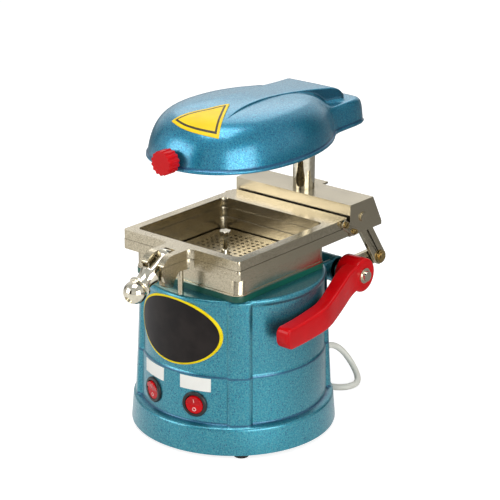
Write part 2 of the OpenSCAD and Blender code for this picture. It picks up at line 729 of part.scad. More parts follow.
// Angles round the head, closer together at the tail
function head_turn(n) = [for (i = [0:n - 1]) let (a = 360 * i / n) a + 9 * sin(2 * a)];

module head_solid(n, shares, inset, drop, foot_rings) {
    turns = head_turn(n);
    rings = concat(
        [for (f = foot_rings) [for (a = turns) head_point(a, 1, f[0] - inset, f[1])]],
        [for (s = shares) [for (a = turns) head_point(a, s, -inset * s, max(head_h(a, s) - drop, foot_rings[0][1] + 0.5))]]);
    points = concat([for (ring = rings) each ring], [[0, head_y, head_z + dome_h - drop]]);
    last = len(rings) - 1;
    polyhedron(points, concat(
        [[for (i = [0:n - 1]) i]],
        [for (k = [0:last - 1], i = [0:n - 1]) let (j = (i + 1) % n) each [
            [k * n + i, k * n + n + i, k * n + j], [k * n + j, k * n + n + i, k * n + n + j]]],
        [for (i = [0:n - 1]) [last * n + i, len(points) - 1, last * n + (i + 1) % n]]));
}

// Raised rib along the top, waisted in plan and rounded off at the back
module rib_plan() polygon(concat(
    [for (t = [0:8]) [rib_half(-50 + 15 * t), -50 + 15 * t]],
    arc([rib_wide - 6, rib_back - 6], 6, 0, 90, 4), arc([6 - rib_wide, rib_back - 6], 6, 90, 180, 4),
    [for (t = [8:-1:0]) [-rib_half(-50 + 15 * t), -50 + 15 * t]]));
rib_wide = 28;
rib_waist = 17;
function rib_half(y) = rib_waist + (rib_wide - rib_waist) * ((y - 35) / 78) ^ 2;
rib_top = [[-50, rib_z - 7.5], [-30, rib_z - 2.4], [-10, rib_z - 0.5], [15, rib_z], [60, rib_z - 2.5],
    [rib_back - 18.5, rib_z - 6.2], [rib_back - 14.5, rib_z - 7.2], [rib_back - 10.7, rib_z - 9],
    [rib_back - 6.9, rib_z - 11.9], [rib_back - 3.9, rib_z - 14.5], [rib_back - 1.6, rib_z - 17.2],
    [rib_back, rib_z - 21]];
rib_low = rib_z - 14;
module rib_side() polygon(concat(rib_top, [[rib_back, head_z + 12], [post_y - 22, head_z + 12], [40, rib_low],
    [-50, rib_low]]));

// Cast cover of the heater with the boss that turns on the post
module head_casting() color("steelblue") difference() {
    union() {
        difference() {
            head_solid(64, [0.985, 0.96, 0.92, 0.87, 0.8, 0.7, 0.5, 0.25], 0, 0,
                [[lip, 0], [lip, lip_h], [0, lip_h + 1]]);
            head_solid(40, [0.97, 0.92, 0.84, 0.7, 0.4], head_wall, head_wall, [[0, -1], [0, 1]]);
        }
        intersection() {
            translate([0, 0, head_z]) linear_extrude(rib_z - head_z + 5) rib_plan();
            across(-rib_wide - 1, 2 * rib_wide + 2) rib_side();
        }
        translate([0, post_y, head_z + 1]) cylinder(h = rib_z - head_z - 12, r = head_boss_r);
    }
    translate([0, post_y, head_z - 1]) cylinder(h = post_top + gap - head_z + 1, r = post_d / 2 + run_fit);
    at_knob() cylinder(h = neck_len, d = neck_d + 0.1);
}

// Polished reflector hung from the casting over the element
module reflector() color("silver") translate([0, chamber_y, head_z]) rotate_extrude() polygon([
    [reflector_r, 2], [reflector_r, 3.2], [reflector_r - 10, 14], [reflector_r - 22, 19], [6, 20],
    [6, rib_low - head_z], [0, rib_low - head_z], [0, 19], [reflector_r - 22, 18],
    [reflector_r - 11, 13], [reflector_r - 1, 2]]);

// Ring element on two legs
module heating_element() color("darkgray") translate([0, chamber_y, element_z]) {
    rotate_extrude() translate([element_d / 2, 0]) circle(d = element_tube);
    for (side = [-1, 1]) translate([side * element_d / 4, 0, 0]) {
        cylinder(h = 4.5, d = 4);
        rotate([0, side * 90, 0]) cylinder(h = element_d / 4, d = 4);
        sphere(d = 4);
    }
}

// Ceramic terminals that carry the element in the reflector
module terminals() color("ivory") for (side = [-1, 1])
    translate([side * element_d / 4, chamber_y, element_z + 4.5]) cylinder(h = 3.5, d = 9);

// Fluted knob on the front of the head
neck_d = 7;
neck_len = 5;
module at_knob() translate([0, -head_fwd + 3, head_knob_z]) rotate([90, 0, 0]) children();
module head_knob() color("red") at_knob() {
    cylinder(h = neck_len, d = neck_d);
    translate([0, 0, neck_len]) difference() {
        cylinder(h = knob_len, d = head_knob_d);
        for (a = [0:360 / flutes:359]) rotate([0, 0, a]) translate([head_knob_d / 2 + 0.6, 0, -1])
            cylinder(h = knob_len + 2, r = 1.6);
    }
}
knob_len = 12;
flutes = 14;

// Blank fan-shaped sign on the slope of the head
sign_tip = [7, -13];
sign_r = 53;
sign_open = 57;
sign_turn = 2;
sign_t = 0.5;
function sign_xy(u, v) = let (a = sign_turn + sign_open * (u - 0.5)) sign_tip + sign_r * v * [sin(a), -cos(a)];
function over_rib(p) = p[1] > -55 && abs(p[0]) < rib_half(p[1]) + 1;
function head_top(p) = let (d = p - [0, head_y], a = atan2(d[0], -d[1]))
    max(head_z + dome(norm(d) / oval_r(a)), over_rib(p) ? lookup(p[1], rib_top) : 0);
module head_sign() color("gold") {
    nu = 8;
    nv = 6;
    low = [for (i = [0:nu], j = [0:nv]) let (p = sign_xy(i / nu, 0.02 + 0.98 * j / nv)) [p[0], p[1], head_top(p) + 0.5]];
    high = [for (p = low) p + [0, 0, sign_t]];
    w = nv + 1;
    m = len(low);
    edge = concat([for (j = [0:nv]) j], [for (i = [1:nu]) i * w + nv], [for (j = [nv - 1:-1:0]) nu * w + j],
        [for (i = [nu - 1:-1:1]) i * w]);
    polyhedron(concat(low, high), concat(
        [for (i = [0:nu - 1], j = [0:nv - 1]) let (q = i * w + j) each [[q, q + 1, q + w], [q + 1, q + w + 1, q + w]]],
        [for (i = [0:nu - 1], j = [0:nv - 1]) let (q = m + i * w + j) each [[q, q + w, q + 1], [q + 1, q + w, q + w + 1]]],
        [for (k = [0:len(edge) - 1]) let (p = edge[k], q = edge[(k + 1) % len(edge)]) each [
            [p, p + m, q], [q, p + m, q + m]]]));
}

// Perforated plate and its lift knob
function is_hole(i, j) = let (m = hole_count - 1, e = min(i, m - i) + min(j, m - j)) e > 1
    && !(i == m / 2 - 1 && j == m / 2);
module suction_plate() color("silver") translate([0, chamber_y, tray_z]) linear_extrude(tray_t) difference() {
    rounded(tray_w, tray_w, 4);
    for (i = [0:hole_count - 1], j = [0:hole_count - 1]) if (is_hole(i, j))
        translate([(i - (hole_count - 1) / 2) * hole_pitch, (j - (hole_count - 1) / 2) * hole_pitch])
            circle(d = hole_d);
}
module suction_knob() color("gainsboro") translate([tray_knob_x, chamber_y, tray_z + tray_t]) {
    cylinder(h = 5, d1 = 9, d2 = 5);
    cylinder(h = tray_knob_h - 5, d = 4);
    translate([0, 0, tray_knob_h - 6]) {
        cylinder(h = 6, d = 8);
        for (a = [0:60:359]) rotate([0, 0, a]) translate([3.6, 0, 0]) cylinder(h = 6, d = 3);
    }
}

// Tapered sleeve where the lead leaves the drum
module strain_relief() color("white") around(cord_turn) translate([0, -relief_r0, cord_z]) rotate([90, 0, 0]) {
    translate([0, 0, -wall - 2]) cylinder(h = wall + 3, d = relief_d);
    cylinder(h = 3, d = relief_flange_d - 1);
    cylinder(h = relief_len, d1 = relief_d, d2 = cord_d + 2);
}

// Tube along a list of points, each ring square to its neighbours
module tube(path, d, sides) {
    n = len(path);
    points = [for (i = [0:n - 1])
        let (t = path[min(i + 1, n - 1)] - path[max(i - 1, 0)], u = cross(t, [0, 0, 1]) / norm(cross(t, [0, 0, 1])),
            v = cross(u, t) / norm(cross(u, t)))
        for (k = [0:sides - 1]) path[i] + d / 2 * (u * cos(360 * k / sides) + v * sin(360 * k / sides))];
    polyhedron(points, concat(
        [[for (k = [0:sides - 1]) k]],
        [for (i = [0:n - 2], k = [0:sides - 1]) let (q = i * sides, j = (k + 1) % sides) each [
            [q + k, q + sides + k, q + j], [q + j, q + sides + k, q + sides + j]]],
        [[for (k = [sides - 1:-1:0]) (n - 1) * sides + k]]));
}

// Turns wind in and out again, and climb a layer while the spiral reverses
function coil_lift(t) = let (s = min(1, max(0, (t - coil_turns) * 2 + 0.5))) coil_pitch * s * s * (3 - 2 * s);
function coil_point(t) = let (r = coil_r - coil_pitch * (coil_turns - abs(t - coil_turns)), a = -90 - 360 * t)
    [coil_x + r * cos(a), coil_y + r * sin(a), cord_d / 2 + coil_lift(t)];
coil_path = concat([coil_point(0) + [cord_d, 0, 0]],
    [for (i = [0:2 * coil_turns * coil_rings]) coil_point(i / coil_rings)],
    [coil_point(2 * coil_turns) - [cord_d, 0, 0]]);
coil_count = len(coil_path);
coil_gap = min([for (i = [0:coil_count - 1]) each
    [for (j = [i + coil_rings / 2:coil_count - 1]) norm(coil_path[i] - coil_path[j])]]) - cord_d;
echo(coil_gap = coil_gap);

module cord_coil() color("white") tube(coil_path, cord_d, coil_sides);
module cord_tube() color("white") {
    tube(concat([cord_exit], cord_route, [coil_path[0]]), cord_d, tube_sides);
    tube(concat([coil_path[coil_count - 1]], cord_tail), cord_d, tube_sides);
}

// Band round the far side of the coil
tie_w = 7;
tie_t = 1.2;
module cord_tie() color("black") translate([coil_x, coil_y + coil_r - 1.5 * coil_pitch, 0]) {
    reach = coil_turns * coil_pitch + 1.5;
    high = cord_d + coil_pitch + 0.6;
    translate([-tie_w / 2, -reach / 2 - tie_t, 0]) difference() {
        cube([tie_w, reach + 2 * tie_t, high + tie_t]);
        translate([-1, tie_t, -1]) cube([tie_w + 2, reach, high + 1]);
    }
}

// Two-pin plug at the far end
module mains_plug() color("white") translate(plug_end) rotate([90, 0, 0]) {
    translate([0, 0, -8]) cylinder(h = 9, d1 = cord_d + 2, d2 = 11);
    linear_extrude(30) rounded(30, 14, 5);
    for (side = [-1, 1]) translate([side * 9.5, 0, 30]) cylinder(h = 19, d = 4);
}

base_housing();
bottom_cover();
foot(-foot_turn);  // foot_front_left
foot(foot_turn);  // foot_front_right
foot(foot_turn - 180);  // foot_rear_left
foot(180 - foot_turn);  // foot_rear_right
turbine_housing();
drive_motor();
chamber_gasket();
chamber_box();
rest_pin();
lift_post();
badge_plate();
label(-1);  // label_left
label(1);  // label_right
bezel(-1);  // bezel_left
bezel(1);  // bezel_right
strain_relief();
cord_tube();
cord_coil();
cord_tie();
mains_plug();
lower_frame();
guide_sleeve();
rear_channel();
hinge_plate(-1);  // hinge_plate_left
hinge_plate(1);  // hinge_plate_right
hinge_screw(-1);  // hinge_screw_left
hinge_screw(1);  // hinge_screw_right
channel_rivet(-1);  // channel_rivet_left
channel_rivet(1);  // channel_rivet_right
tilt_screw(-1);  // tilt_screw_left
tilt_screw(1);  // tilt_screw_right
upper_frame();
clamp_pin();
swing_bolt();
clamp_knob();
lift_shaft();
crank(-1);  // crank_left
crank(1);  // crank_right
crank_pin(-1);  // crank_pin_left
crank_pin(1);  // crank_pin_right
hand_lever();
lever_bolt();
shaft_nut();
link(-1);  // link_left
link(1);  // link_right
head_casting();
reflector();
heating_element();
terminals();
head_knob();
head_sign();
rocker(-1);  // rocker_left
rocker(1);  // rocker_right
suction_plate();
suction_knob();
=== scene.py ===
# Dental vacuum former, dressed for its photograph.
# Shapes are in millimetres, turned to metres when a mesh is made. The camera and the lamps are in metres.
from math import atan2, cos, degrees, hypot, pi, radians, sin, sqrt, tan

import bmesh
import bpy
from mathutils import Matrix, Vector


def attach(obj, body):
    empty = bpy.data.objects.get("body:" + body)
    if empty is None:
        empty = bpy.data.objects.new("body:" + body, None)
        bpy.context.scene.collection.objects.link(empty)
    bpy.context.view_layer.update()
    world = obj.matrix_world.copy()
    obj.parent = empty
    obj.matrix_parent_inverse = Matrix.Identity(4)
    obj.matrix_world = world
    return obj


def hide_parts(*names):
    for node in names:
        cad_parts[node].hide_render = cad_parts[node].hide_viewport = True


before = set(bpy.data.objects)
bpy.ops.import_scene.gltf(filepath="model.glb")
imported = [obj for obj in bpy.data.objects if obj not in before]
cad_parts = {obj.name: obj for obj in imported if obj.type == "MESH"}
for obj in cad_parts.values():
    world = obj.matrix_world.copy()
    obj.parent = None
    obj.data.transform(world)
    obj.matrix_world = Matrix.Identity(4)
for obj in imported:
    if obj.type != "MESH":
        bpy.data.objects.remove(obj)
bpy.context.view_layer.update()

scene = bpy.context.scene
scene.view_settings.view_transform = "Standard"
MM = 0.001


# Camera at the photograph's view, as wide as it is high. Turns are from the front, rises from the level.
VIEW_TURN = 40.31
VIEW_RISE = 19.88
VIEW_DISTANCE = 1.602
VIEW_LENS = 131.1
VIEW_SHIFT = (0.033, 0.0052)
SENSOR = 36
NEAREST = 0.05
LOOK_AT = Vector((0, 0, 0.157))


def aim(thing, turn, rise, distance):
    """Places a camera or a lamp round the object and turns it to face it."""
    turn, rise = radians(turn), radians(rise)
    towards = Vector((sin(turn) * cos(rise), -cos(turn) * cos(rise), sin(rise)))
    thing.location = LOOK_AT + distance * towards
    thing.rotation_euler = (-towards).to_track_quat("-Z", "Y").to_euler()


def make_camera():
    camera = bpy.data.objects.new("camera", bpy.data.cameras.new("camera"))
    scene.collection.objects.link(camera)
    aim(camera, VIEW_TURN, VIEW_RISE, VIEW_DISTANCE)
    camera.data.sensor_width = SENSOR
    camera.data.lens = VIEW_LENS
    camera.data.shift_x, camera.data.shift_y = VIEW_SHIFT
    camera.data.clip_start = NEAREST
    scene.camera = camera


make_camera()


# Small helpers for node trees
def new_material(name, **sockets):
    """Material, its tree and its shader, with values set on the shader's own sockets."""
    material = bpy.data.materials.new(name)
    material.use_nodes = True
    shader = material.node_tree.nodes["Principled BSDF"]
    for socket, value in sockets.items():
        shader.inputs[socket.replace("_", " ")].default_value = value
    return material, material.node_tree, shader


def add(tree, kind, values, **settings):
    """Node with each input linked to a socket or set to a value."""
    made = tree.nodes.new(kind)
    for key, value in settings.items():
        setattr(made, key, value)
    for key, value in values.items():
        if isinstance(value, bpy.types.NodeSocket):
            tree.links.new(value, made.inputs[key])
        else:
            made.inputs[key].default_value = value
    return made


def place(tree):
    """Position on the object, in metres, which moves with the piece."""
    return add(tree, "ShaderNodeTexCoord", {}).outputs["Object"]


def noise(tree, per_metre, detail, stretch=(1, 1, 1)):
    """Cloudy pattern of that many marks to the metre."""
    mapping = add(tree, "ShaderNodeMapping", {"Vector": place(tree), "Scale": stretch})
    inputs = {"Vector": mapping.outputs[0], "Scale": per_metre, "Detail": detail}
    return add(tree, "ShaderNodeTexNoise", inputs).outputs[0]


def band(tree, value, low, high, to_low=0.0, to_high=1.0):
    """Soft step of a value from low to high."""
    made = add(
        tree,
        "ShaderNodeMapRange",
        {"Value": value, "From Min": low, "From Max": high, "To Min": to_low, "To Max": to_high},
        interpolation_type="SMOOTHSTEP",
    )
    return made.outputs[0]


def maths(tree, operation, a, b=0.0):
    return add(tree, "ShaderNodeMath", {0: a, 1: b}, operation=operation).outputs[0]


def mixed(tree, share, a, b):
    """Colour a where share is 0, and b where it is 1."""
    made = add(tree, "ShaderNodeMix", {0: share, 6: a, 7: b}, data_type="RGBA")
    return made.outputs[2]


def rgb(red, green, blue):
    """A screen colour from 0 to 255, as the shader's linear colour."""
    linear = [c / 255 / 12.92 if c <= 10 else ((c / 255 + 0.055) / 1.055) ** 2.4 for c in (red, green, blue)]
    return (*linear, 1)


def emboss(tree, shader, height, strength, distance):
    """Bump whose full height is that distance in metres."""
    bump = add(tree, "ShaderNodeBump", {"Height": height, "Strength": strength, "Distance": distance})
    tree.links.new(bump.outputs[0], shader.inputs["Normal"])


# Paint: its colours, with the dark blues of painted shade, its marks to the metre, and the levels of the
# steps at which shade is painted as a dark band
DRUM_SKIN = rgb(14, 118, 138)
DRUM_PALE = rgb(102, 174, 174)
HEAD_SKIN = rgb(0, 110, 142)
HEAD_PALE = rgb(80, 168, 184)
SPECK_BLUE = rgb(4, 62, 104)
STEP_SHADE_BLUE = rgb(4, 56, 98)
PAINTED_SHADE_BLUE = rgb(0, 62, 86)
CELLS = 700
SPECKS = 1150
CLOUDS = 14
SHADED_STEPS = (29.9, 72.6, 255.6)

# Nickel
NICKEL_LIGHT = rgb(194, 185, 163)
NICKEL_DARK = rgb(152, 142, 119)

# Oval badge plate: width, height, level of its middle and width of its border
BADGE_W = 91
BADGE_H = 61
BADGE_Z = 109.5
BADGE_EDGE = 1.8

# Fan-shaped sign: its tip, radius, opening and turn, and the middle and half width of the line round it
SIGN_TIP = (7, -13)
SIGN_R = 53
SIGN_OPEN = 57
SIGN_TURN = 2
SIGN_LINE_IN = 3.1
SIGN_LINE_HALF = 0.9


# Materials
def hammered_paint(name, skin, pale, depth=0.0):
    """Metallic paint, dark in its specks, with painted shade in a band at the foot of steps. Depth is the
    share of painted shade all over.
    """
    material, tree, shader = new_material(
        name, Metallic=0.7, Specular_IOR_Level=0.3, Coat_Weight=0.5, Coat_Roughness=0.2, Coat_IOR=1.65
    )
    cells = noise(tree, CELLS, 2)
    specks = noise(tree, SPECKS, 1)
    broad = noise(tree, CLOUDS, 1)
    axes = add(tree, "ShaderNodeSeparateXYZ", {"Vector": place(tree)}).outputs
    body = mixed(tree, band(tree, broad, 0.3, 0.7), skin, [1.15 * c for c in skin[:3]] + [1])
    flakes = mixed(tree, band(tree, cells, 0.4, 0.7, 0.08, 0.42), body, pale)
    colour = mixed(tree, band(tree, specks, 0.565, 0.64, 0, 0.8), flakes, SPECK_BLUE)
    # Painted shade: a dark band within 1.6 mm of each step's level, standing for the shade under the step.
    for foot in SHADED_STEPS:
        step_shade = maths(tree, "ABSOLUTE", maths(tree, "SUBTRACT", axes[2], foot * MM))
        colour = mixed(tree, band(tree, step_shade, 0.0016, 0.0003, 0, 0.7), colour, STEP_SHADE_BLUE)
    # Painted shade all over, by the share given as depth.
    colour = mixed(tree, depth, colour, PAINTED_SHADE_BLUE)
    tree.links.new(colour, shader.inputs["Base Color"])
    tree.links.new(band(tree, cells, 0.3, 0.7, 0.38, 0.28), shader.inputs["Roughness"])
    emboss(tree, shader, cells, 0.3, 0.0004)
    return material


def plated_metal(name, light, dark, rough, grain, bump, stretch=(1, 1, 1)):
    """Plate with a grain of that many marks to the metre."""
    material, tree, shader = new_material(name, Metallic=1.0)
    marks = noise(tree, grain, 3, stretch)
    cloud = noise(tree, 40, 2)
    tree.links.new(mixed(tree, band(tree, marks, 0.35, 0.68), light, dark), shader.inputs["Base Color"])
    tree.links.new(band(tree, cloud, 0.3, 0.7, rough * 0.85, rough * 1.2), shader.inputs["Roughness"])
    emboss(tree, shader, marks, bump, 0.0002)
    return material


def moulding(name, light, dark, rough, grain=900, bump=0.06, shine=0.4):
    """Plastic, rubber or ceramic with a fine moulded grain."""
    material, tree, shader = new_material(name, Specular_IOR_Level=shine)
    marks = noise(tree, grain, 2)
    cloud = noise(tree, 30, 2)
    tree.links.new(mixed(tree, band(tree, cloud, 0.3, 0.7), light, dark), shader.inputs["Base Color"])
    tree.links.new(band(tree, marks, 0.3, 0.7, rough * 0.85, rough * 1.15), shader.inputs["Roughness"])
    emboss(tree, shader, marks, bump, 0.0003)
    return material


def badge_finish():
    """Black oval field inside a yellow border."""
    material, tree, shader = new_material("badge_gloss", Roughness=0.42, Specular_IOR_Level=0.15)
    axes = add(tree, "ShaderNodeSeparateXYZ", {"Vector": place(tree)}).outputs
    across = maths(tree, "DIVIDE", axes[0], (BADGE_W / 2 - BADGE_EDGE) * MM)
    over_middle = maths(tree, "SUBTRACT", axes[2], BADGE_Z * MM)
    up = maths(tree, "DIVIDE", over_middle, (BADGE_H / 2 - BADGE_EDGE) * MM)
    reach = maths(tree, "ADD", maths(tree, "MULTIPLY", across, across), maths(tree, "MULTIPLY", up, up))
    cloud = noise(tree, 55, 3)
    field = mixed(tree, band(tree, cloud, 0.3, 0.7), rgb(24, 20, 19), rgb(36, 31, 29))
    edge = mixed(tree, band(tree, cloud, 0.35, 0.7), rgb(238, 214, 22), rgb(222, 192, 10))
    colour = mixed(tree, band(tree, reach, 0.99, 1.01), field, edge)
    tree.links.new(colour, shader.inputs["Base Color"])
    emboss(tree, shader, noise(tree, 700, 2), 0.05, 0.0002)
    return material


def sign_finish():
    """Yellow sign with a dark line inside its border."""
    material, tree, shader = new_material("sign_print", Roughness=0.45, Specular_IOR_Level=0.25)
    axes = add(tree, "ShaderNodeSeparateXYZ", {"Vector": place(tree)}).outputs
    dx = maths(tree, "SUBTRACT", axes[0], SIGN_TIP[0] * MM)
    dy = maths(tree, "SUBTRACT", SIGN_TIP[1] * MM, axes[1])
    half = radians(SIGN_OPEN / 2)
    turn = radians(SIGN_TURN)

    def inside(angle, side):
        """Distance in from one straight edge of the fan."""
        along_edge = maths(tree, "MULTIPLY", dy, sin(angle) * side)
        return maths(tree, "SUBTRACT", along_edge, maths(tree, "MULTIPLY", dx, cos(angle) * side))

    left = inside(turn - half, -1)
    right = inside(turn + half, 1)
    squares = maths(tree, "ADD", maths(tree, "MULTIPLY", dx, dx), maths(tree, "MULTIPLY", dy, dy))
    rim = maths(tree, "SUBTRACT", SIGN_R * MM, maths(tree, "SQRT", squares))
    depth = maths(tree, "MINIMUM", maths(tree, "MINIMUM", left, right), rim)
    compared = {0: depth, 1: SIGN_LINE_IN * MM, 2: SIGN_LINE_HALF * MM}
    line = add(tree, "ShaderNodeMath", compared, operation="COMPARE").outputs[0]
    cloud = noise(tree, 60, 2)
    face = mixed(tree, band(tree, cloud, 0.3, 0.7), rgb(236, 204, 24), rgb(226, 190, 16))
    tree.links.new(mixed(tree, line, face, rgb(58, 50, 34)), shader.inputs["Base Color"])
    emboss(tree, shader, noise(tree, 800, 2), 0.05, 0.0002)
    return material


finish = {
    "blue_paint": hammered_paint("hammered_teal", DRUM_SKIN, DRUM_PALE),
    "dark_sheet": moulding("dark_sheet", rgb(34, 34, 38), rgb(26, 26, 30), 0.45),
    "black_rubber": moulding("black_rubber", rgb(30, 30, 30), rgb(22, 22, 22), 0.7, 700, 0.2),
    "green_rubber": moulding("green_rubber", rgb(0, 84, 66), rgb(0, 68, 56), 0.35, 500, 0.1),
    "cast_aluminium": plated_metal("cast_aluminium", rgb(206, 206, 202), rgb(186, 186, 182), 0.25, 900, 0.1),
    "motor_steel": plated_metal(
        "motor_steel", rgb(150, 152, 156), rgb(128, 130, 134), 0.35, 700, 0.2, stretch=(1, 1, 8)
    ),
    "nickel": plated_metal("nickel_grain", NICKEL_LIGHT, NICKEL_DARK, 0.22, 1500, 0.05),
    "chrome": plated_metal("bright_chrome", rgb(214, 208, 190), rgb(200, 192, 172), 0.06, 300, 0.01),
    "brass": plated_metal("turned_brass", rgb(186, 162, 108), rgb(156, 130, 80), 0.25, 1200, 0.15),
    "badge": badge_finish(),
    "white_label": moulding("label_paper", rgb(238, 238, 232), rgb(228, 228, 222), 0.6, 1500, 0.15),
    "black_plastic": moulding("black_plastic", rgb(32, 32, 32), rgb(24, 24, 24), 0.35, 1300, 0.12),
    "white_plastic": moulding("white_sheath", rgb(232, 232, 222), rgb(222, 222, 212), 0.42, 700, 0.06),
    "red_plastic": moulding("red_moulding", rgb(200, 6, 16), rgb(186, 4, 12), 0.2, 500, 0.02, shine=0.18),
    "element_steel": plated_metal("element_steel", rgb(112, 108, 102), rgb(84, 80, 76), 0.45, 1200, 0.3),
    "ceramic": moulding("glazed_ceramic", rgb(226, 220, 206), rgb(216, 210, 196), 0.25),
    "sign": sign_finish(),
}
head_paint = hammered_paint("hammered_blue", HEAD_SKIN, HEAD_PALE)
# The head's paint darkened as painted shade, for the rib's sides.
shaded_side_paint = hammered_paint("hammered_painted_shade", HEAD_SKIN, HEAD_PALE, depth=0.72)
rocker_mark = moulding("rocker_mark", rgb(246, 200, 196), rgb(238, 188, 184), 0.4)


# Mesh helpers. Edges stay crisp where faces meet at more than so many degrees.
SHARP = 35


def make(name, points, faces, sharp):
    """Piece from points in millimetres."""
    mesh = bpy.data.meshes.new(name)
    mesh.from_pydata([[c * MM for c in p] for p in points], [], faces)
    piece = bpy.data.objects.new(name, mesh)
    scene.collection.objects.link(piece)
    tidy(piece, sharp)
    return piece


def tidy(piece, sharp):
    """Welds shared points, turns the faces outwards and shades smooth up to an angle."""
    bm = bmesh.new()
    bm.from_mesh(piece.data)
    bmesh.ops.remove_doubles(bm, verts=bm.verts, dist=1e-7)
    bmesh.ops.dissolve_degenerate(bm, edges=bm.edges, dist=1e-8)
    bmesh.ops.recalc_face_normals(bm, faces=bm.faces)
    bm.to_mesh(piece.data)
    bm.free()
    piece.data.polygons.foreach_set("use_smooth", [True] * len(piece.data.polygons))
    piece.data.set_sharp_from_angle(angle=radians(sharp))


def loft(name, rings, closed=False, sharp=SHARP):
    """Skin over closed rings of equal count, with flat caps unless the row of rings is closed too."""
    n = len(rings[0])
    rows = len(rings)
    faces = [
        (i * n + j, i * n + (j + 1) % n, (i + 1) % rows * n + (j + 1) % n, (i + 1) % rows * n + j)
        for i in range(rows if closed else rows - 1)
        for j in range(n)
    ]
    if not closed:
        faces += [tuple(range(n)), tuple(range((rows - 1) * n, rows * n))]
    return make(name, [p for ring in rings for p in ring], faces, sharp)


def eased(points, cuts, steps=4, closed=True):
    """Outline with each corner rounded off from a cut's length before it to a cut's length after it."""
    out = []
    count = len(points)
    for i, (p, cut) in enumerate(zip(points, cuts)):
        if cut == 0 or (not closed and i in (0, count - 1)):
            out.append(p)
            continue
        here, before, after = Vector(p), Vector(points[i - 1]), Vector(points[(i + 1) % count])
        start = here + (before - here).normalized() * min(cut, 0.45 * (before - here).length)
        end = here + (after - here).normalized() * min(cut, 0.45 * (after - here).length)
        for k in range(steps + 1):
            t = k / steps
            out.append(tuple((1 - t) ** 2 * start + 2 * t * (1 - t) * here + t ** 2 * end))
    return out


def turned(name, profile, move, steps=96, sharp=SHARP):
    """Closed profile of radius and height, turned about Z and then moved."""
    rings = []
    for i in range(steps):
        a = 2 * pi * i / steps
        rings.append([move @ Vector((r * cos(a), r * sin(a), z)) for r, z in profile])
    return loft(name, rings, closed=True, sharp=sharp)


def along_x(x, y, z):
    """Moves a piece turned about Z onto an axis along X."""
    return Matrix.Translation((x, y, z)) @ Matrix.Rotation(pi / 2, 4, "Y")


def tube_profile(inner, outer, z0, z1, ease):
    """Profile of a tube with its outer edges eased."""
    corners = [(inner, z0), (outer, z0), (outer, z1), (inner, z1)]
    return eased(corners, [ease * 0.4, ease, ease, ease * 0.4])


def slab(name, outline, x0, x1):
    """Flat plate from an outline in Y and Z."""
    return loft(name, [[(x, y, z) for y, z in outline] for x in (x0, x1)])


def bevelled(piece, width):
    """Eases a piece's edges by a width in millimetres."""
    edge = piece.modifiers.new("edges", "BEVEL")
    edge.width = width * MM
    edge.segments = 2
    edge.limit_method = "ANGLE"
    edge.angle_limit = radians(40)
    edge.harden_normals = True
    return piece


def joined(name, pieces, materials=()):
    """One piece from several, with their modifiers applied. Faces keep the numbers of their materials."""
    bm = bmesh.new()
    graph = bpy.context.evaluated_depsgraph_get()
    for piece in pieces:
        shape = piece.evaluated_get(graph).to_mesh()
        bm.from_mesh(shape)
        piece.evaluated_get(graph).to_mesh_clear()
    mesh = bpy.data.meshes.new(name)
    bm.to_mesh(mesh)
    bm.free()
    for piece in pieces:
        bpy.data.objects.remove(piece)
    whole = bpy.data.objects.new(name, mesh)
    scene.collection.objects.link(whole)
    for material in materials:
        mesh.materials.append(material)
    mesh.polygons.foreach_set("use_smooth", [True] * len(mesh.polygons))
    mesh.set_sharp_from_angle(angle=radians(SHARP))
    return whole


def fit(piece, body, slot, *nodes, material=None):
    """Gives a piece its finish, its body and the CAD nodes that it stands for."""
    if not piece.data.materials:
        piece.data.materials.append(material or finish[slot])
    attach(piece, body)
    if nodes:
        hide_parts(*nodes)
    return piece


# Mains lead: the same route as the CAD tube, on one curve from the strain relief to the plug
CORD_D = 6
CORD_Z = 36
RELIEF_TURN = radians(171)
RELIEF_R0 = 82.5
RELIEF_LEN = 25
RELIEF_RIBS = 6
EXIT = ((RELIEF_R0 + RELIEF_LEN) * sin(RELIEF_TURN), -(RELIEF_R0 + RELIEF_LEN) * cos(RELIEF_TURN), CORD_Z)
ROUTE = [
    (18, 117, 36), (19, 126, 33), (22, 133, 27), (27, 137, 19), (34, 137, 11), (41, 133, 5.5), (46, 125, 3.2),
    (46, 115, 3), (41, 107, 3), (32, 102.5, 3), (20, 101, 3), (6, 101, 3), (-8, 101, 3), (-22, 102, 3),
    (-36, 103, 3), (-50, 103, 3),
]
TAIL = [
    (-90, 103, 9.2), (-99, 102.5, 6.5), (-107, 100, 4.2), (-114, 95.5, 3.6), (-119.5, 88.5, 4.4),
    (-122.5, 80, 5.8), (-123.5, 72, 7),
]
COIL_AT = (-72, 146)
COIL_R = 43
COIL_TURNS = 3
COIL_PITCH = 6.7
COIL_STEPS = 24


def coil_point(turn):
    """The coil winds in on the floor, climbs a layer and winds out again."""
    radius = COIL_R - COIL_PITCH * (COIL_TURNS - abs(turn - COIL_TURNS))
    rise = min(1, max(0, (turn - COIL_TURNS) * 2 + 0.5))
    angle = radians(-90 - 360 * turn)
    lift = COIL_PITCH * rise * rise * (3 - 2 * rise)
    return (COIL_AT[0] + radius * cos(angle), COIL_AT[1] + radius * sin(angle), CORD_D / 2 + lift)


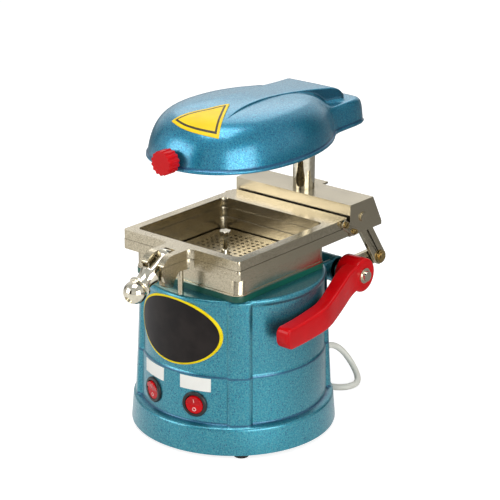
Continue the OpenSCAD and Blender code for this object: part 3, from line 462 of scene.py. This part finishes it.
def mains_lead():
    """The lead's curve, and its length in metres."""
    coil = [coil_point(i / COIL_STEPS) for i in range(2 * COIL_TURNS * COIL_STEPS + 1)]
    first = (coil[0][0] + CORD_D, coil[0][1], coil[0][2])
    last = (coil[-1][0] - CORD_D, coil[-1][1], coil[-1][2])
    path = [EXIT, *ROUTE, first, *coil, last, *TAIL]
    curve = bpy.data.curves.new("mains_lead", "CURVE")
    curve.dimensions = "3D"
    spline = curve.splines.new("BEZIER")
    spline.bezier_points.add(len(path) - 1)
    for knot, point in zip(spline.bezier_points, path):
        knot.co = [c * MM for c in point]
        knot.handle_left_type = knot.handle_right_type = "AUTO"
    curve.resolution_u = 4
    curve.bevel_depth = CORD_D / 2 * MM
    curve.bevel_resolution = 4
    curve.use_fill_caps = True
    lead = bpy.data.objects.new("mains_lead", curve)
    scene.collection.objects.link(lead)
    length = sum(hypot(*(a - b for a, b in zip(p, q))) for p, q in zip(path, path[1:])) * MM
    return lead, length


def strain_relief():
    """Tapered boot with flexing slots, drawn along -Y and turned to its place."""
    profile = [(0, -4), (5.2, -4), (5.2, 0), (7, 0), (7, 2.4), (6.4, 3)]
    for i in range(RELIEF_RIBS):
        z = 4 + i * (RELIEF_LEN - 6) / RELIEF_RIBS
        r = 5.4 - 1.3 * i / RELIEF_RIBS
        profile += [(r, z), (r, z + 2.1), (r - 0.9, z + 2.4), (r - 0.9, z + 2.9)]
    profile += [(4, RELIEF_LEN - 1.6), (3.7, RELIEF_LEN - 0.4), (3.1, RELIEF_LEN), (0, RELIEF_LEN)]
    move = Matrix.Rotation(RELIEF_TURN, 4, "Z") @ Matrix.Translation((0, -RELIEF_R0, CORD_Z))
    return turned("relief_boot", profile, move @ Matrix.Rotation(pi / 2, 4, "X"), 48, 30)


# Plug: where its body starts, its sections as distance, half width, half height and squareness, and its pins
PLUG_END = (-123.5, 64, 7)
PLUG_SECTIONS = [
    (-8, 4, 4, 2), (-7, 4.3, 4.3, 2), (-3, 4.9, 4.9, 2), (1, 5.8, 5.4, 2), (4, 9, 6, 2.3),
    (8, 12.6, 6.6, 2.7), (13, 14.4, 6.9, 3.2), (20, 14.7, 6.9, 3.6), (27, 14.9, 7, 4),
    (29.3, 14.7, 6.8, 4), (30, 13.9, 6.1, 4),
]
PLUG_LEN = 30
PIN_R = 2
PIN_LEN = 19
PIN_HALF = 9.5


def mains_plug():
    """Moulded plug body: a tapered neck that swells into a flat grip."""

    def section(y, half_w, half_h, power):
        ring = []
        for k in range(40):
            a = 2 * pi * k / 40
            c, s = cos(a), sin(a)
            reach = (abs(c) ** power + abs(s) ** power) ** (-1 / power)
            ring.append((PLUG_END[0] + half_w * reach * c, PLUG_END[1] - y, PLUG_END[2] + half_h * reach * s))
        return ring

    return loft("plug_body", [section(*s) for s in PLUG_SECTIONS], sharp=50)


def plug_pins():
    pins = []
    for side in (-1, 1):
        profile = eased([(0, 0), (PIN_R, 0), (PIN_R, PIN_LEN), (0, PIN_LEN)], [0, 0, 1.2, 0])
        move = Matrix.Translation((PLUG_END[0] + side * PIN_HALF, PLUG_END[1] - PLUG_LEN, PLUG_END[2]))
        pins.append(turned("pin", profile, move @ Matrix.Rotation(pi / 2, 4, "X"), 32))
    return joined("plug_pins", pins)


lead, lead_length = mains_lead()
fit(lead, "base", "white_plastic", "cord_tube", "cord_coil")
plug = fit(mains_plug(), "base", "white_plastic", "mains_plug")
pins = fit(plug_pins(), "base", "nickel")
fit(strain_relief(), "base", "white_plastic", "strain_relief")


# Drum casting: a turned wall from profiles of radius and height, which swells at the pilasters. PILASTER_LINE
# gives their radius at each height. Points within SKIN_R belong to the deck and don't swell.
DECK_Z = 142.6
BAND_R = 83.5
WALL = 3
PILASTERS = (-135, -44, 44, 135)
PILASTER_HALF = 11.3
PILASTER_ROUND = 5.4
SKIN_R = 70
DRUM_OUTSIDE = [
    (92, 4), (89.9, 28), (83.5, 29.5), (82.5, 73), (81.5, 74.5), (80.5, 136.6), (81.3, 138.6), (81.3, 140.8),
    (80.7, 142), (79.3, DECK_Z), (15, DECK_Z),
]
DRUM_INSIDE = [(15, 138.6), (77.5, 138.6), (78.5, 73), (79.5, 70), (80.5, 26.5), (86.9, 25), (89, 4)]
DRUM_EASE = [1.2, 2.2, 1.4, 1.6, 0.9, 0.9, 0.8, 0.6, 0.5, 0.5, 0.6]
PILASTER_LINE = [(4, 88), (29, 88), (74, 85.5), (140, 82.3), (142, 80.7), (DECK_Z, 79)]


def along(line, at):
    """Straight interpolation in a list of pairs."""
    if at <= line[0][0]:
        return line[0][1]
    for (a, u), (b, v) in zip(line, line[1:]):
        if at <= b:
            return u + (v - u) * (at - a) / (b - a)
    return line[-1][1]


def smooth_step(t):
    """Soft step from 0 to 1."""
    t = min(1, max(0, t))
    return t * t * (3 - 2 * t)


def drum_wall():
    """Wall of quarter-degree steps at the pilasters' sides, and of two degrees elsewhere."""
    turns = {2.0 * i for i in range(180)}
    edge = degrees(PILASTER_HALF / BAND_R)
    for p in PILASTERS:
        for side in (-1, 1):
            turns |= {(p + side * (edge + 0.25 - 0.25 * k)) % 360 for k in range(18)}
    turns = sorted(round(t, 3) for t in turns)
    outside = eased(DRUM_OUTSIDE, DRUM_EASE, closed=False)
    rings = []
    for turn in turns:
        off = min(abs((turn - p + 180) % 360 - 180) for p in PILASTERS)
        rise = min(1, max(0, (PILASTER_HALF - radians(off) * BAND_R) / PILASTER_ROUND))
        swell = 1 - (1 - rise) ** 2.1
        a = radians(turn)
        ring = []
        for r, z in outside:
            if r > SKIN_R:
                r += swell * max(0, along(PILASTER_LINE, z) - r)
            ring.append((r * sin(a), -r * cos(a), z))
        ring += [(r * sin(a), -r * cos(a), z) for r, z in DRUM_INSIDE]
        rings.append(ring)
    return loft("drum_wall", rings, closed=True, sharp=40)


# Switches: their turn from the front, level, hole and the radius of their seat
SWITCH_TURN = radians(16.7)
SWITCH_Z = 46
SWITCH_HOLE_R = 10.6
SEAT_R = 82.2


def cut_switch_holes(wall):
    """Cuts both holes, from inside the wall to outside it."""
    start, reach = -BAND_R + 14, 24
    for side in (-1, 1):
        turn = Matrix.Rotation(side * SWITCH_TURN, 4, "Z")
        move = turn @ Matrix.Translation((0, start, SWITCH_Z)) @ Matrix.Rotation(pi / 2, 4, "X")
        profile = [(0, 0), (SWITCH_HOLE_R, 0), (SWITCH_HOLE_R, reach), (0, reach)]
        cutter = turned("cutter", profile, move, 48)
        hole = wall.modifiers.new("hole", "BOOLEAN")
        hole.operation = "DIFFERENCE"
        hole.solver = "EXACT"
        hole.object = cutter
        bpy.context.view_layer.update()
        graph = bpy.context.evaluated_depsgraph_get()
        mesh = bpy.data.meshes.new_from_object(wall.evaluated_get(graph))
        wall.modifiers.clear()
        wall.data = mesh
        bpy.data.objects.remove(cutter)


# Rear of the drum: the post's boss and web, and the shaft's barrel and ears with their ties
POST_Y = 99
POST_R = 10
BOSS_R = 16
BOSS_FOOT = 100
SHAFT_Y = 83.5
SHAFT_Z = 131.5
SHAFT_BORE = 4.1
BARREL_R = 11
BARREL_HALF = 52
EAR_R = 12
EAR_IN = 46


def drum():
    """Wall with its switch holes, boss, web, barrel, ears and ties."""
    wall = drum_wall()
    cut_switch_holes(wall)
    parts = [wall]
    boss = [(POST_R, BOSS_FOOT), (BOSS_R, BOSS_FOOT), (BOSS_R, DECK_Z), (POST_R, DECK_Z)]
    parts.append(turned("boss", eased(boss, [0, 2, 1.2, 0.8]), Matrix.Translation((0, POST_Y, 0))))
    web = [(-BOSS_R, 74), (BOSS_R, 74), (BOSS_R, POST_Y), (-BOSS_R, POST_Y)]
    levels = (BOSS_FOOT, DECK_Z - 0.2)
    parts.append(bevelled(loft("web", [[(x, y, z) for x, y in web] for z in levels]), 1.2))
    barrel = tube_profile(SHAFT_BORE, BARREL_R, -BARREL_HALF, BARREL_HALF, 1.2)
    parts.append(turned("barrel", barrel, along_x(0, SHAFT_Y, SHAFT_Z)))
    for side in (-1, 1):
        ear = tube_profile(SHAFT_BORE, EAR_R, 0, BARREL_HALF - EAR_IN, 1.4)
        parts.append(turned("ear", ear, along_x(EAR_IN if side > 0 else -BARREL_HALF, SHAFT_Y, SHAFT_Z - 1)))
        tie = [(62, 124.6), (SHAFT_Y, 122), (SHAFT_Y, 140.6), (62, 140.6)]
        x0, x1 = sorted((side * (EAR_IN + 0.3), side * (BARREL_HALF - 0.3)))
        parts.append(bevelled(slab("tie", tie, x0, x1), 1.0))
    return joined("drum_casting", parts)


fit(drum(), "base", "blue_paint", "base_housing")


def badge():
    """Oval plate that follows the drum, with a rolled edge."""

    def at(share, a, out):
        """Point at a share of the oval's size, and so far out from the drum."""
        x = BADGE_W / 2 * share * cos(a)
        z = BADGE_Z + BADGE_H / 2 * share * sin(a)
        r = low_r + (high_r - low_r) * (z - low_z) / (high_z - low_z) + out
        return (x, -sqrt(r * r - x * x), z)

    (low_r, low_z), (high_r, high_z) = DRUM_OUTSIDE[4:6]
    rings = [(0.02, -0.1), (1, -0.1), (1, 0.6), (0.995, 0.95), (0.985, 1.12)]
    rings += [(0.96, 1.2), (0.9, 1.2), (0.75, 1.2), (0.5, 1.2), (0.25, 1.2), (0.02, 1.2)]
    return loft("oval_plate", [[at(s, 2 * pi * k / 120, out) for k in range(120)] for s, out in rings])


fit(badge(), "base", "badge", "badge_plate")


# Chromed post, and the knob of the swing bolt, on fine meshes for their clean reflections.
# The knob is turned about the bolt, as profiles of radius and distance from the bolt's pin at BOLT_AT.
POST_FOOT = 105
POST_TOP = 281.2
BOLT_AT = (0, -88, 179)
BOLT_TURN = radians(120)
BORE_R = 3.55
BELL_END = 33.2
WAIST_R = 7
COLLAR = [
    (7.1, 35), (7.4, 35.5), (9.5, 35.95), (9.9, 36.15), (10, 36.6), (10, 37.8), (9.85, 38.2), (9.5, 38.45),
    (8.9, 38.6),
]
BALL_R = 10
BALL_AT = 44.3
BALL_FROM = -32
BALL_SWEEP = 101.2


def post():
    """Straight post with its top edge rounded off."""
    profile = [
        (0, POST_FOOT), (POST_R - 0.3, POST_FOOT), (POST_R, POST_FOOT + 0.3), (POST_R, POST_TOP - 1.6),
        (POST_R - 0.15, POST_TOP - 1.3), (POST_R - 1.4, POST_TOP - 0.1), (POST_R - 1.7, POST_TOP),
        (0, POST_TOP),
    ]
    return turned("post", profile, Matrix.Translation((0, POST_Y, 0)), 128, 20)


def clamp_knob():
    """Waisted bell, a collar and a ball, bored for the bolt."""
    profile = [(BORE_R, 23.2), (BORE_R + 0.4, 22.9), (8.9, 22.9), (9.15, 23.15), (9.15, 23.9)]
    for k in range(13):
        left = 1 - k / 12
        profile.append((WAIST_R + 1.95 * left ** 2, BELL_END - 8.9 * left))
    profile += COLLAR
    for k in range(33):
        a = radians(BALL_FROM + BALL_SWEEP * k / 32)
        profile.append((BALL_R * cos(a), BALL_AT + BALL_R * sin(a)))
    move = Matrix.Translation(BOLT_AT) @ Matrix.Rotation(BOLT_TURN, 4, "X")
    return turned("ball_knob", profile, move, 112, 30)


fit(post(), "base", "chrome", "lift_post")
fit(clamp_knob(), "knob", "chrome", "clamp_knob")


# Heater head: the plan and height of the CAD casting, on a finer mesh. Its plan is an oval run into a tail.
HEAD_Y = 8
HEAD_Z = 252
HALF_W = 66.5
OVAL_FRONT = 87
OVAL_BACK = 102
TAIL_HALF = 38
TAIL_REACH = 138
TAIL_RISE = 24.3
CROWN = 6
DOME_H = 43
LIP = 1.4
HOLLOW = 9
LEAST_H = 3.9
RIB_Z = HEAD_Z + DOME_H + 1.2


def oval_r(a):
    """Radius of the oval at an angle from the front."""
    c, s = cos(a), sin(a)
    if c > 0:
        return ((abs(s) / HALF_W) ** 2.25 + (c / OVAL_FRONT) ** 2.25) ** (-1 / 2.25)
    return ((s / HALF_W) ** 2 + (c / OVAL_BACK) ** 2) ** -0.5


def tail_r(a):
    """Radius of the tail, a box with rounded corners. It has none ahead of the middle."""
    c, s = cos(a), sin(a)
    return 1 if c > 0 else ((abs(s) / TAIL_HALF) ** 10 + (-c / TAIL_REACH) ** 10) ** -0.1


def head_r(a):
    """Radius of the oval and the tail run together."""
    return (oval_r(a) ** 18 + tail_r(a) ** 18) ** (1 / 18)


def dome(r):
    """Height at a share of the oval's radius: a low crown on steep sides."""
    return (DOME_H - CROWN) * (1 - r ** 8) ** 0.625 + CROWN * (1 - r * r) if r < 1 else 0


def head_h(a, share):
    """Height over the rim, with a soft hollow where the dome runs into the tail."""
    m = share * max(oval_r(a), tail_r(a))
    over, tail = dome(m / oval_r(a)), m / tail_r(a)
    tail = TAIL_RISE * (1 - tail ** 60) ** 0.7 if tail < 1 else 0
    top = max(over, tail)
    hollow = max(0, HOLLOW - abs(over - tail)) ** 2 / (4 * HOLLOW)
    return top + hollow * min(1, max(0, top - 8) / 8)


def head_point(a, share, grow, h):
    """Point at a share of the plan's radius, plus some growth, and at a height over the rim."""
    r = share * head_r(a) + grow
    return (r * sin(a), HEAD_Y - r * cos(a), HEAD_Z + h)


def head_shell():
    """Rings from the crown out over the dome, closer at its foot, round the rolled rim and back inside."""
    n = 240
    steps = 34
    turns = [2 * pi * i / n + radians(9) * sin(4 * pi * i / n) for i in range(n)]
    shares = [0.9965 * (1 - (k / steps) ** 2.1) for k in range(steps)]
    rings = []
    for s in reversed(shares):
        rings.append([head_point(a, s, 0, max(head_h(a, s), LEAST_H)) for a in turns])
    rim = [
        (0.05, 3.6), (0.3, 3.1), (LIP - 0.5, 2.75), (LIP - 0.1, 2.3), (LIP, 1.5), (LIP - 0.1, 0.6),
        (LIP - 0.6, 0.1), (-WALL + 0.5, 0.1), (-WALL, 0.6),
    ]
    for grow, h in rim:
        rings.append([head_point(a, 1, grow, h) for a in turns])
    for s in shares[::3]:
        rings.append([head_point(a, s, -WALL * s, max(head_h(a, s) - WALL, 1)) for a in turns])
    return loft("shell", rings, sharp=45)


def head_surface(x, y):
    """Level of the shell's outside."""
    a = atan2(x, HEAD_Y - y)
    share = hypot(x, HEAD_Y - y) / head_r(a)
    return HEAD_Z + (head_h(a, share) if share < 1 else 0)


# Rib on the head: its reach, half widths at its waist and rear end, corners, edge, and its rear end's fall
RIB_FRONT = -50
RIB_BACK = 123.5
RIB_WAIST = 17
RIB_WAIST_Y = 35
RIB_WIDE = 28
RIB_WIDE_Y = 113
RIB_PEAK_Y = 15
RIB_CORNER = 6
RIB_EASE = 1.3
RIB_END = [
    (105, -6.3), (109, -7.2), (112.8, -9), (116.6, -11.9), (119.6, -14.5), (121.9, -17.2), (123.5, -21),
]


def rib_top(y):
    """Level of the rib's top, which falls to both ends."""
    if y > RIB_END[0][0]:
        return RIB_Z + along(RIB_END, y)
    if y < RIB_PEAK_Y:
        return RIB_Z - 7.5 * ((RIB_PEAK_Y - y) / (RIB_PEAK_Y - RIB_FRONT)) ** 3.1
    return RIB_Z - 6.3 * ((y - RIB_PEAK_Y) / (RIB_END[0][0] - RIB_PEAK_Y)) ** 1.38


def rib_half(y):
    """Half of the rib's width."""
    share = (min(y, RIB_WIDE_Y) - RIB_WAIST_Y) / (RIB_WIDE_Y - RIB_WAIST_Y)
    return RIB_WAIST + (RIB_WIDE - RIB_WAIST) * share ** 2


def rib_side(y):
    """Half of the rib's section: a skirt that runs out into the head, the side and the rounded top edge."""
    half = rib_half(y)
    if y > RIB_BACK - RIB_CORNER:
        half -= RIB_CORNER - sqrt(max(0, RIB_CORNER ** 2 - (y - RIB_BACK + RIB_CORNER) ** 2))
    top = rib_top(y)
    step = max(0, top - head_surface(half, y))
    spread = min(5, 0.3 + 0.55 * step)
    side = []
    for k in range(7):
        t = pi / 2 * k / 6
        x = half + spread * (1 - sin(t))
        skirt = head_surface(x, y) - 0.2 + 0.2 * k / 6 + spread * (1 - cos(t))
        side.append((x, min(skirt, top - RIB_EASE * 0.9)))
    for k in range(5):
        t = pi / 2 * k / 4
        side.append((half - RIB_EASE * (1 - cos(t)), top - RIB_EASE * (1 - sin(t))))
    return side + [(half * 0.55, top + 0.15), (half * 0.2, top + 0.22)]


def rib():
    """Rib down into the head, with painted shade on its sides. Its stations lie closer at the rear end."""
    stations = [RIB_FRONT + 3.1 * k for k in range(50)]
    stations += [RIB_BACK - 20 + 0.8 * k for k in range(25)]
    rings = []
    for y in sorted(stations):
        low = along([(40, RIB_Z - 14), (77, HEAD_Z + 12)], y)
        side = rib_side(y)
        side = [(side[0][0], low)] + side
        rings.append([(x, y, z) for x, z in side] + [(-x, y, z) for x, z in reversed(side)])
    piece = loft("rib", rings, sharp=50)
    piece.data.materials.append(head_paint)
    piece.data.materials.append(shaded_side_paint)
    # Side faces take the darkened paint: painted shade.
    for face in piece.data.polygons:
        face.material_index = int(abs(face.normal.z) < 0.5)
    return piece


def head():
    """Shell, rib and the boss on the post."""
    boss = tube_profile(POST_R + 0.05, BOSS_R - 0.5, HEAD_Z + 1, RIB_Z - 11, 0.8)
    parts = [head_shell(), rib(), turned("boss", boss, Matrix.Translation((0, POST_Y, 0)))]
    return joined("head_cover", parts, (head_paint, shaded_side_paint))


fit(head(), "head", "blue_paint", "head_casting")


def head_top(x, y):
    """The head's surface with the rib's step eased over, as the sign lies on it."""
    z = head_surface(x, y)
    step = smooth_step((rib_half(y) + 1.2 - abs(x)) / 1.6) * smooth_step((y - RIB_FRONT + 4) / 5)
    return z + max(0, rib_top(y) + 0.22 - z) * step


def sign():
    """Thin fan laid over the head's slope, in so many steps round its tip and out from it."""
    around = 36
    out = 30
    faces = []
    points = []
    for lift in (0.15, 0.6):
        for i in range(around + 1):
            for j in range(out + 1):
                a = radians(SIGN_TURN + SIGN_OPEN * (i / around - 0.5))
                r = SIGN_R * (0.03 + 0.97 * j / out)
                x, y = SIGN_TIP[0] + r * sin(a), SIGN_TIP[1] - r * cos(a)
                points.append((x, y, head_top(x, y) + lift))
    row = out + 1
    layer = (around + 1) * row
    for i in range(around):
        for j in range(out):
            q = i * row + j
            faces.append((q, q + 1, q + row + 1, q + row))
            faces.append(tuple(layer + k for k in (q, q + row, q + row + 1, q + 1)))
    edge = list(range(out + 1)) + [i * row + out for i in range(1, around + 1)]
    edge += [around * row + j for j in range(out - 1, -1, -1)] + [i * row for i in range(around - 1, 0, -1)]
    for k, p in enumerate(edge):
        q = edge[(k + 1) % len(edge)]
        faces.append((p, p + layer, q + layer, q))
    return make("fan_sign", points, faces, 30)


fit(sign(), "head", "sign", "head_sign")


# Hand lever: a hub and an arm that flares out past the drum, between an upper and a lower curve of Y and Z
LEVER_TIP = -43
LEVER_NOSE = -37.5
LEVER_EASE = 2.2
ARM_TOP = [(72.5, 143.3), (10, 124), (-38, 122.2)]
ARM_LOW = [(73.5, 119.3), (15, 103), (-37, 103.2)]
HUB_R = 15.5
HUB_IN = 60
HUB_OUT = 82
HUB_BORE = 4
HANDLE_IN = 84
HANDLE_OUT = 98


def curve_at(a, b, c, t):
    """Point on a curve from a to c, pulled towards b."""
    return tuple((1 - t) ** 2 * u + 2 * t * (1 - t) * v + t * t * w for u, v, w in zip(a, b, c))


def flare(y, start, end, low, high):
    """Side of the arm in plan, with its two bends eased."""
    spread = (-7, -3.5, 0, 3.5, 7)
    share = sum(min(1, max(0, (start - y + d) / (start - end))) for d in spread) / len(spread)
    return low + (high - low) * share


def arm_ring(top, low, ease):
    """Section of the arm between a point of its upper edge and one of its lower edge."""
    y = (top[0] + low[0]) / 2
    x_in = flare(y, 62, 14, HUB_OUT - 14, HANDLE_IN)
    x_out = flare(y, 66, 12, HUB_OUT, HANDLE_OUT)
    height = hypot(top[0] - low[0], top[1] - low[1])
    corners = [(x_in, 0), (x_out, 0), (x_out, height), (x_in, height)]
    corners = eased(corners, [ease] * 4, 5)
    ring = []
    for x, h in corners:
        s = h / height
        ring.append((x, low[0] + (top[0] - low[0]) * s, low[1] + (top[1] - low[1]) * s))
    return ring


def lever():
    """Arm along its two curves, its rounded nose and its hub."""
    rings = []
    for k in range(37):
        rings.append(arm_ring(curve_at(*ARM_TOP, k / 36), curve_at(*ARM_LOW, k / 36), LEVER_EASE))
    for k in range(1, 9):
        a = pi / 2 * k / 8
        y = LEVER_NOSE + (LEVER_TIP - LEVER_NOSE) * sin(a)
        drop = 1 - cos(a)
        top = (y - 0.2, ARM_TOP[-1][1] - 3.4 * drop)
        low = (y + 0.2, ARM_LOW[-1][1] + 4.6 * drop)
        rings.append(arm_ring(top, low, LEVER_EASE + 1.6 * drop))
    last = [Vector(p) for p in rings[-1]]
    middle = sum(last, Vector()) / len(last)
    rings.append([tuple(middle + (p - middle) * 0.93 + Vector((0, -0.35, 0))) for p in last])
    hub = turned("hub", tube_profile(HUB_BORE, HUB_R, HUB_IN, HUB_OUT, 2), along_x(0, SHAFT_Y, SHAFT_Z))
    return joined("lever_moulding", [loft("arm", rings, sharp=50), hub])


fit(lever(), "lever", "red_plastic", "hand_lever")


# On and off marks on the rockers, whose two halves slope from their middle
ROCKER_TILT = radians(9)
MARK_OUT = 4.2


def rocker_marks(side):
    """Ring on the lower half and bar on the upper half of one rocker."""
    turn = Matrix.Rotation(side * SWITCH_TURN, 4, "Z") @ Matrix.Translation((0, -SEAT_R - 0.8, SWITCH_Z))
    turn = turn @ Matrix.Rotation(pi / 2 + ROCKER_TILT, 4, "X")
    height = 1.6 + MARK_OUT * tan(ROCKER_TILT) + 0.04
    marks = []
    for half in (-1, 1):
        lean = turn @ Matrix.Translation((0, MARK_OUT * half, height))
        lean = lean @ Matrix.Rotation(half * ROCKER_TILT, 4, "X")
        if half < 0:
            marks.append(turned("off", [(1.2, -0.1), (1.75, -0.1), (1.75, 0.08), (1.2, 0.08)], lean, 32))
        else:
            bar = [(-0.3, -1.75), (0.3, -1.75), (0.3, 1.75), (-0.3, 1.75)]
            marks.append(loft("on", [[lean @ Vector((x, y, z)) for x, y in bar] for z in (-0.1, 0.08)]))
    return joined("rocker_marks_right" if side > 0 else "rocker_marks_left", marks)


fit(rocker_marks(1), "switch_right", "red_plastic", material=rocker_mark)
fit(rocker_marks(-1), "switch_left", "red_plastic", material=rocker_mark)


# The other CAD nodes keep their shape and get a finish. Those named here have their edges eased by so much.
EASE = {
    "lower_frame": 0.7, "upper_frame": 0.7, "rear_channel": 0.5, "chamber_box": 0.5, "chamber_gasket": 0.6,
    "bezel_left": 0.3, "bezel_right": 0.3, "rocker_left": 0.4, "rocker_right": 0.4, "head_knob": 0.4,
    "crank_left": 0.4, "crank_right": 0.4, "link_left": 0.4, "link_right": 0.4, "hinge_plate_left": 0.3,
    "hinge_plate_right": 0.3, "cord_tie": 0.3, "guide_sleeve": 0.4, "lever_bolt": 0.3, "shaft_nut": 0.4,
    "foot_front_left": 0.4, "foot_front_right": 0.4, "foot_rear_left": 0.4, "foot_rear_right": 0.4,
    "tilt_screw_left": 0.2, "tilt_screw_right": 0.2, "hinge_screw_left": 0.2, "hinge_screw_right": 0.2,
    "channel_rivet_left": 0.4, "channel_rivet_right": 0.4, "crank_pin_left": 0.3, "crank_pin_right": 0.3,
    "swing_bolt": 0.4, "suction_knob": 0.3,
}


def dress_nodes():
    """Finishes every CAD node that is still shown."""
    for name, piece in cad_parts.items():
        if piece.hide_render:
            continue
        slot = piece.data.materials[0].name.split(".")[0]
        for holder in piece.material_slots:
            holder.material = finish[slot]
        if name in EASE:
            weld = piece.modifiers.new("weld", "WELD")
            weld.merge_threshold = 1e-6
            bevelled(piece, EASE[name])


dress_nodes()


# Pale floor. As the object mirrors it, it dims from the middle to REAR_Y metres behind.
WHITE = (1, 1, 1, 1)
FLOOR_HALF = 30
FLOOR_GLOW = 0.8
REAR_Y = 0.35


def make_floor():
    """Floor that the camera sees white apart from the object's shadow."""
    material, tree, shader = new_material("pale_floor", Roughness=0.9)
    cloud = noise(tree, 3, 2)
    pale = mixed(tree, cloud, rgb(186, 186, 186), rgb(180, 180, 180))
    rays = add(tree, "ShaderNodeLightPath", {}).outputs
    depth = add(tree, "ShaderNodeSeparateXYZ", {"Vector": place(tree)}).outputs[1]
    dim = maths(tree, "MULTIPLY", rays["Is Glossy Ray"], band(tree, depth, 0, REAR_Y, 0, 0.55))
    tree.links.new(mixed(tree, dim, pale, rgb(60, 58, 54)), shader.inputs["Base Color"])
    seen = maths(tree, "MAXIMUM", rays["Is Camera Ray"], rays["Is Transmission Ray"])
    mirrored = maths(tree, "MULTIPLY", rays["Is Glossy Ray"], band(tree, depth, 0, REAR_Y, 0.62, 0.1))
    seen = maths(tree, "MAXIMUM", seen, mirrored)
    shader.inputs["Emission Color"].default_value = WHITE
    tree.links.new(maths(tree, "MULTIPLY", seen, FLOOR_GLOW), shader.inputs["Emission Strength"])
    mesh = bpy.data.meshes.new("floor")
    corners = [(x * FLOOR_HALF, y * FLOOR_HALF, 0) for x, y in ((-1, -1), (1, -1), (1, 1), (-1, 1))]
    mesh.from_pydata(corners, [], [(0, 1, 2, 3)])
    floor = bpy.data.objects.new("floor", mesh)
    mesh.materials.append(material)
    scene.collection.objects.link(floor)


# Square soft boxes: name, turn, rise, distance, side and watts
LAMPS = [
    ("key", -30, 17, 1.5, 0.9, 11),
    ("side", 72, 9, 1.4, 1.0, 15),
    ("back", 218, 42, 1.8, 1.2, 6),
    ("top", 20, 80, 1.5, 1.0, 15),
]


def area_light(name, turn, rise, distance, size, power):
    lamp = bpy.data.lights.new(name, "AREA")
    lamp.size = size
    lamp.energy = power
    light = bpy.data.objects.new(name, lamp)
    scene.collection.objects.link(light)
    aim(light, turn, rise, distance)


# Studio round the object: its even light, and the wall, ceiling and sides that glossy surfaces mirror
EVEN_LIGHT = (0.22, 0.22, 0.22, 1)
BACK_WALL_WAY = (-0.586, 0.691, 0.42)
BACK_WALL = (0.9, 0.9, 0.9, 1)
CEILING = (0.62, 0.65, 0.68, 1)
SIDE_LIGHT = (0.8, 0.8, 0.8, 1)
SIDE_DARK = (0.05, 0.045, 0.04, 1)
SIDE_STRIPES = 4
SIDE_START = 0.7


def make_world():
    """White to the camera, even to matt surfaces, and to glossy ones a wall, a ceiling and striped sides."""
    world = bpy.data.worlds.new("studio")
    scene.world = world
    world.use_nodes = True
    tree = world.node_tree
    back = tree.nodes["Background"]
    ray = add(tree, "ShaderNodeTexCoord", {}).outputs["Generated"]
    axes = add(tree, "ShaderNodeSeparateXYZ", {"Vector": ray}).outputs
    faced = add(tree, "ShaderNodeVectorMath", {0: ray, 1: BACK_WALL_WAY}, operation="DOT_PRODUCT")
    wall = faced.outputs["Value"]
    around = maths(tree, "ARCTAN2", axes[0], axes[1])
    phase = maths(tree, "ADD", maths(tree, "MULTIPLY", around, SIDE_STRIPES), SIDE_START)
    sides = mixed(tree, band(tree, maths(tree, "SINE", phase), -0.2, 0.4), SIDE_LIGHT, SIDE_DARK)
    over = mixed(tree, band(tree, axes[2], 0.35, 0.7), sides, CEILING)
    studio = mixed(tree, band(tree, wall, 0.55, 0.9), over, BACK_WALL)
    rays = add(tree, "ShaderNodeLightPath", {}).outputs
    lit = mixed(tree, rays["Is Glossy Ray"], EVEN_LIGHT, studio)
    seen = maths(tree, "MAXIMUM", rays["Is Camera Ray"], rays["Is Transmission Ray"])
    tree.links.new(mixed(tree, seen, lit, WHITE), back.inputs["Color"])
    back.inputs["Strength"].default_value = 1.0


make_floor()
make_world()
for lamp in LAMPS:
    area_light(*lamp)
